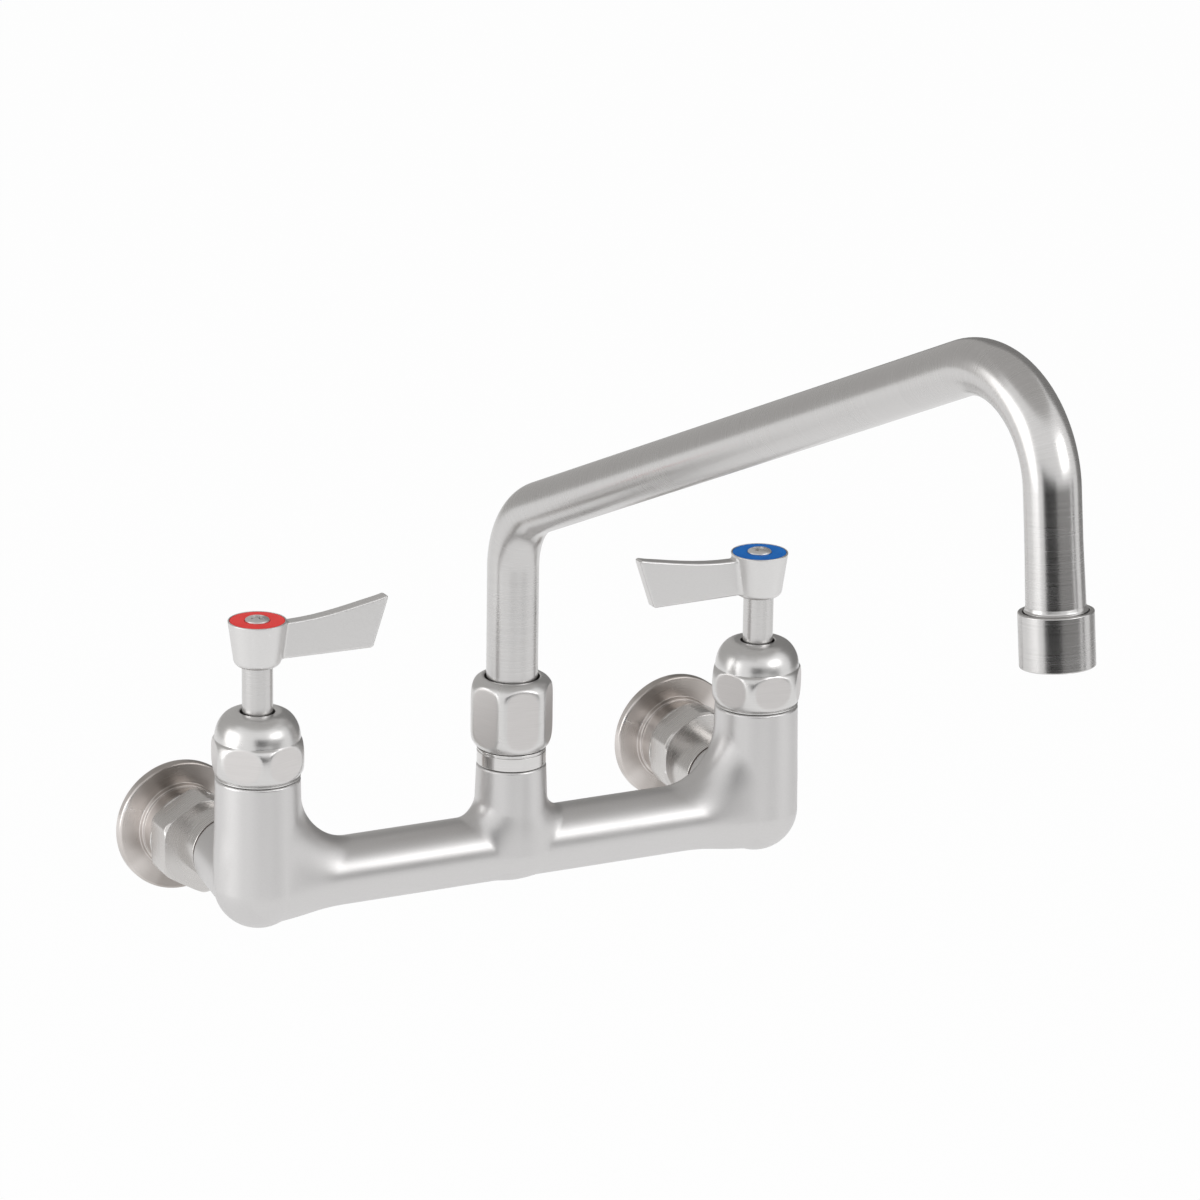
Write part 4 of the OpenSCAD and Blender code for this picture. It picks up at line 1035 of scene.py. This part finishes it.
# %% [markdown]
# ## Spout joint
#
# The spout turns in a nipple, whose bright collar shows above the middle boss,
# and a hex nut with large rounded shoulders holds it down. A fine groove is
# turned near the collar's top.

# %% Spout nipple and nut
COLLAR_BASE, COLLAR_TOP, JOINT_R, GROOVE_R = 30.1, 36.3, 12.8, 12.45
nipple = rounded([
    (6.3, 17.3, .2), (10.0, 17.3, .4), (10.0, COLLAR_BASE, .2), (JOINT_R, COLLAR_BASE, .35),
    (JOINT_R, 35.0, .1), (GROOVE_R, 35.15, .1), (GROOVE_R, 35.5, .1), (JOINT_R, 35.65, .1),
    (JOINT_R, COLLAR_TOP, .3), (12.2, COLLAR_TOP, .1), (12.2, 49.5, .5), (9.6, 49.5, .3),
    (9.6, 38.2, .1), (6.3, 38.2, .1)])
make_piece("spout_collar", turned(nipple), AT_SPOUT, POLISHED, "tap",
           "spout_nipple")

SPOUT_NUT_AF, SPOUT_NUT_TURN = 28.3, 81.5
SHOULDERS = [(12.6, 36.5), (13.55, 37.5), (14.85, 39.5), (15.4, 41.8), (15.55, 44.5),
             (15.55, 50.0), (15.55, 55.5), (15.4, 58.2), (14.85, 60.4), (13.5, 62.3), (12.2, 63.2)]
TOP_AND_INSIDE = [(11.4, 63.45), (10.7, 63.5), (10.35, 63.42), (10.2, 63.2), (10.2, 54.0),
                  (12.35, 53.9), (12.35, 36.7), (12.45, 36.5)]
spout_nut, mask = hex_form(dense(smooth_rows(SHOULDERS, 60) + TOP_AND_INSIDE, LONGEST_GAP),
                           SPOUT_NUT_AF, edge=0.6)
make_piece("spout_hex_nut", spout_nut, AT_SPOUT @ spun(SPOUT_NUT_TURN), NUT_STEEL, "tap",
           "spout_nut", extra={"flat": mask})

# %% [markdown]
# ## Spout tube
#
# The tube rises from the nut, bends forward, runs up along the arm and bends
# down to the mouth. Its axis is three straight lines and two arcs, all in one
# upright plane, so the turning helper can follow it with two fixed directions
# and no twist. The tube is hollow, with real wall thickness at both ends.

# %% Spout axis
LOWER_R, UPPER_R, TUBE_R, TUBE_WALL, FOOT_TOP, TUBE_SEAT = 30.0, 35.0, 9.525, 1.2, 52.2, 11.1
LOWER_TURN, UPPER_TURN = math.pi / 2 - ARM_ANGLE, ARM_ANGLE + math.pi / 2 - DROP_ANGLE
LOWER_TANGENT = LOWER_R * math.tan(LOWER_TURN / 2)
UPPER_TANGENT = UPPER_R * math.tan(UPPER_TURN / 2)
RUNS = [RISER - LOWER_TANGENT - FOOT_TOP, LOWER_R * LOWER_TURN,
        REACH / math.cos(ARM_ANGLE) - LOWER_TANGENT - UPPER_TANGENT, UPPER_R * UPPER_TURN,
        DROP - UPPER_TANGENT - TUBE_SEAT]
CURVES = [0, 1 / LOWER_R, 0, 1 / UPPER_R, 0]
TUBE_LEN = sum(RUNS)


def spout_axis(s):
    """The point and directions of the spout's axis at length s, X along the reach and Z up."""
    x, z, lean = 0.0, FOOT_TOP, 0.0
    for run, curve in zip(RUNS, CURVES):
        part = min(s, run) if run != RUNS[-1] else s
        turn = part * curve
        if curve:
            x += (math.cos(lean) - math.cos(lean + turn)) / curve
            z += (math.sin(lean + turn) - math.sin(lean)) / curve
        else:
            x += part * math.sin(lean)
            z += part * math.cos(lean)
        lean += turn
        s -= part
        if s <= 0:
            break
    return (np.array([x, 0, z]), np.array([-math.cos(lean), 0, math.sin(lean)]),
            np.array([0, -1, 0]), np.array([math.sin(lean), 0, math.cos(lean)]))


print("tube length", round(TUBE_LEN, 1), "mm, mouth at", spout_axis(TUBE_LEN)[0].round(2))

# %% Spout tube
STATIONS = np.linspace(0.25, TUBE_LEN - 0.25, 240)
TIP_SWELL, SWELL_START, SWELL_END = 0.4, TUBE_LEN - 34, TUBE_LEN - 6
BORE_R, TIP_R = TUBE_R - TUBE_WALL, TUBE_R + TIP_SWELL
outer = [(TUBE_R + TIP_SWELL * eased(s, SWELL_START, SWELL_END), s, 1, 0) for s in STATIONS]
inner = [(BORE_R, s, -1, 0) for s in STATIONS[::-1]]
far_end = [(TIP_R - .2, TUBE_LEN, .3, 1), (BORE_R + .2, TUBE_LEN, -.3, 1)]
near_end = [(BORE_R + .2, 0, -.3, -1), (TUBE_R - .2, 0, .3, -1)]
tube = turned(outer + far_end + inner + near_end, sides=128, axis=spout_axis)
make_piece("spout_pipe", tube, SWING, BRUSHED, "spout", "spout_tube")

# %% [markdown]
# ## Aerator housing
#
# A plain round cap on the spout's mouth. It is screwed on to the tube's
# threaded tip, which shows as a thin ring inside its rim, and it holds the
# white insert whose holes break up the water. A small flare stands between it
# and the tube.

# %% Aerator housing
HOUSING_R, HOUSING_LEN, HOUSING_BORE_R, MOUTH_BORE_R, MOUTH_LEN = 12.55, 18.5, 11.0, 9.5, 7.0
housing = rounded([
    (MOUTH_BORE_R, 0.0, .3), (HOUSING_R, 0.0, .5), (HOUSING_R, HOUSING_LEN, .45),
    (HOUSING_BORE_R, HOUSING_LEN, .3), (HOUSING_BORE_R, MOUTH_LEN, .1),
    (MOUTH_BORE_R, MOUTH_LEN, .1)])
make_piece("aerator_cap", turned(housing), AT_OUTLET, BRUSHED, "spout",
           "aerator_housing")
flare = rounded([(9.3, 16.8, .1), (10.55, 16.8, .1), (10.55, 18.7, .2), (10.15, 19.2, 1.2),
                 (9.96, 20.4, .05), (9.3, 20.0, .05)])
make_piece("spout_tip_flare", turned(flare), AT_OUTLET, BRUSHED, "spout")

# %% [markdown]
# ## CAD pieces that stay
#
# Washers, seals, discs, sleeves, the foot of the spout and the insert keep
# their CAD shapes, which are right as they are. Each gets the procedural
# finish of what it is made of.

# %% Finishes for the CAD pieces
PLAIN_STEEL = steel("inner_steel", (0.52, 0.505, 0.49), (0.68, 0.67, 0.66), (0.2, 0.34),
                    3.0, 0.5, 0.006, own_grain=False)
ON_BOTH_SIDES = {"inlet_washer": FIBRE, "inlet_o_ring": RUBBER, "seat_seal": RUBBER,
                 "fixed_disc": CERAMIC, "moving_disc": CERAMIC, "valve_sleeve": BRASS,
                 "spindle_o_ring": RUBBER}
kept = {"spout_glide_ring": WHITE, "spout_foot": PLAIN_STEEL, "spout_o_ring": RUBBER,
        "spout_tip": PLAIN_STEEL, "aerator_washer": RUBBER, "aerator_insert": WHITE}
for name, material in ON_BOTH_SIDES.items():
    for side in (HOT, COLD):
        kept[f"{SIDE_NAME[side]}_{name}"] = material
for name, material in kept.items():
    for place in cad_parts[name].material_slots:
        place.material = material
print(len(kept), "CAD pieces keep their shape")

# %% [markdown]
# ## Studio
#
# Metal shows what stands round it, so lighting steel is mostly a matter of
# what it mirrors. The world and the floor are white, grey cards stand where
# the photograph's reflections are darker, and two soft boxes give the bright
# bands. The cards are seen only by reflections, so they don't change the plain
# light that falls on the tap.

# %% World and floor
FLOOR_Z, FLOOR_HALF, FLOOR_GREY = -0.45, 14, 0.94
WORLD_LIGHT, FLOOR_WHITE = 0.85, 0.92
PURE_WHITE = {"Color": (1, 1, 1, 1), "Strength": 1.0}


def emptied(block):
    """The cleared node tree of a world or a material."""
    block.use_nodes = True
    block.node_tree.nodes.clear()
    return block.node_tree


def show(tree, shader, end="OutputMaterial"):
    tree.links.new(shader.outputs[0], node(tree, end).inputs[0])


def white_where_seen(tree, shader, white, share):
    """Mixes plain white into what the camera, mirrors and glass see."""
    rays = node(tree, "LightPath").outputs
    seen = maths(tree, "MAXIMUM", rays["Is Camera Ray"], rays["Is Glossy Ray"])
    seen = maths(tree, "MAXIMUM", seen, rays["Is Transmission Ray"])
    return node(tree, "MixShader", {0: maths(tree, "MULTIPLY", seen, share),
                                    1: shader.outputs[0], 2: white.outputs[0]})


def build_world():
    world = bpy.data.worlds.new("studio")
    tree = emptied(world)
    soft = node(tree, "Background", {**PURE_WHITE, "Strength": WORLD_LIGHT})
    white = node(tree, "Background", PURE_WHITE)
    show(tree, white_where_seen(tree, soft, white, 1.0), "OutputWorld")
    bpy.context.scene.world = world


def stage_piece(name, points, faces, material):
    """A mesh of the studio: no part of the tap."""
    mesh = bpy.data.meshes.new(name)
    mesh.from_pydata(points, [], faces)
    mesh.materials.append(material)
    made = add_object(name, mesh)
    return made


def build_floor():
    material = bpy.data.materials.new("pale_floor")
    tree = emptied(material)
    matt = node(tree, "BsdfDiffuse", {"Color": (*[FLOOR_GREY] * 3, 1)})
    show(tree, white_where_seen(tree, matt, node(tree, "Emission", PURE_WHITE), FLOOR_WHITE))
    ends = ((-1, -1), (1, -1), (1, 1), (-1, 1))
    corners = [(x * FLOOR_HALF, y * FLOOR_HALF, FLOOR_Z) for x, y in ends]
    stage_piece("floor", corners, [(0, 1, 2, 3)], material)


build_world()
build_floor()
print("world and floor are white, the floor lies at", FLOOR_Z, "m")

# %% Cards and soft boxes
LOOK_AT, MOUTH = Vector((0, -0.12, 0.05)), Vector((0.044, -0.385, 0.195))
CARD_COLUMNS, CARD_ROWS, CARD_TINT = 24, 8, (1, 0.985, 0.965)


def toward(azimuth, elevation, distance, centre=LOOK_AT):
    """A point round the tap: azimuth 0 is in front, positive to the right."""
    a, e = math.radians(azimuth), math.radians(elevation)
    flat = math.cos(e)
    return centre + distance * Vector((math.sin(a) * flat, -math.cos(a) * flat, math.sin(e)))


def card(name, azimuths, elevations, distance, grey, centre=LOOK_AT):
    """A curved card that only reflections see, from and to an azimuth and an elevation."""
    points = [tuple(toward(a, e, distance, centre)) for e in np.linspace(*elevations, CARD_ROWS)
              for a in np.linspace(*azimuths, CARD_COLUMNS)]
    corners = [r * CARD_COLUMNS + c for r in range(CARD_ROWS - 1) for c in range(CARD_COLUMNS - 1)]
    faces = [(n, n + 1, n + CARD_COLUMNS + 1, n + CARD_COLUMNS) for n in corners]
    material = bpy.data.materials.new(name)
    tree = emptied(material)
    colour = (*(grey * tint for tint in CARD_TINT), 1)
    show(tree, node(tree, "Emission", {"Color": colour, "Strength": 1.0}))
    made = stage_piece(name, points, faces, material)
    made.visible_camera = made.visible_diffuse = made.visible_shadow = False
    made.visible_transmission = False


def soft_box(name, azimuth, elevation, distance, wide, tall, glow):
    """An area lamp facing the tap. glow is how bright its face looks, 1 being white."""
    data = bpy.data.lights.new(name, "AREA")
    data.shape, data.size, data.size_y = "RECTANGLE", wide, tall
    data.energy = glow * math.pi * wide * tall
    lamp = add_object(name, data)
    lamp.location = toward(azimuth, elevation, distance)
    lamp.rotation_euler = (LOOK_AT - lamp.location).to_track_quat("-Z", "Y").to_euler()
    lamp.visible_camera = False


card("mouth_dark_card", (-64, -14), (-26, 6), 0.5, 0.01, MOUTH)
card("mouth_grey_card", (-14, 44), (-20, 2), 0.55, 0.20, MOUTH)
card("mouth_line_card", (52, 60), (-20, 2), 0.55, 0.06, MOUTH)
card("dark_front_card", (12, 38), (-11, 2), 2.1, 0.10)
card("left_card", (-122, -110), (-30, 30), 2.4, 0.80)
card("right_card", (79, 156), (-44, 46), 2.2, 0.25)
card("back_card", (105, 256), (-6, 50), 3.0, 0.50)
card("top_card", (-180, 180), (50, 89), 3.2, 0.50)
soft_box("front_box", 30, 24, 2.0, 1.1, 0.7, 2.1)
soft_box("left_box", -98, 8, 2.2, 1.6, 1.4, 1.45)

# %% [markdown]
# ## Finish
#
# The picture is shown with the Standard view, so colours come out as written.

# %% Finish
bpy.context.scene.view_settings.view_transform = "Standard"
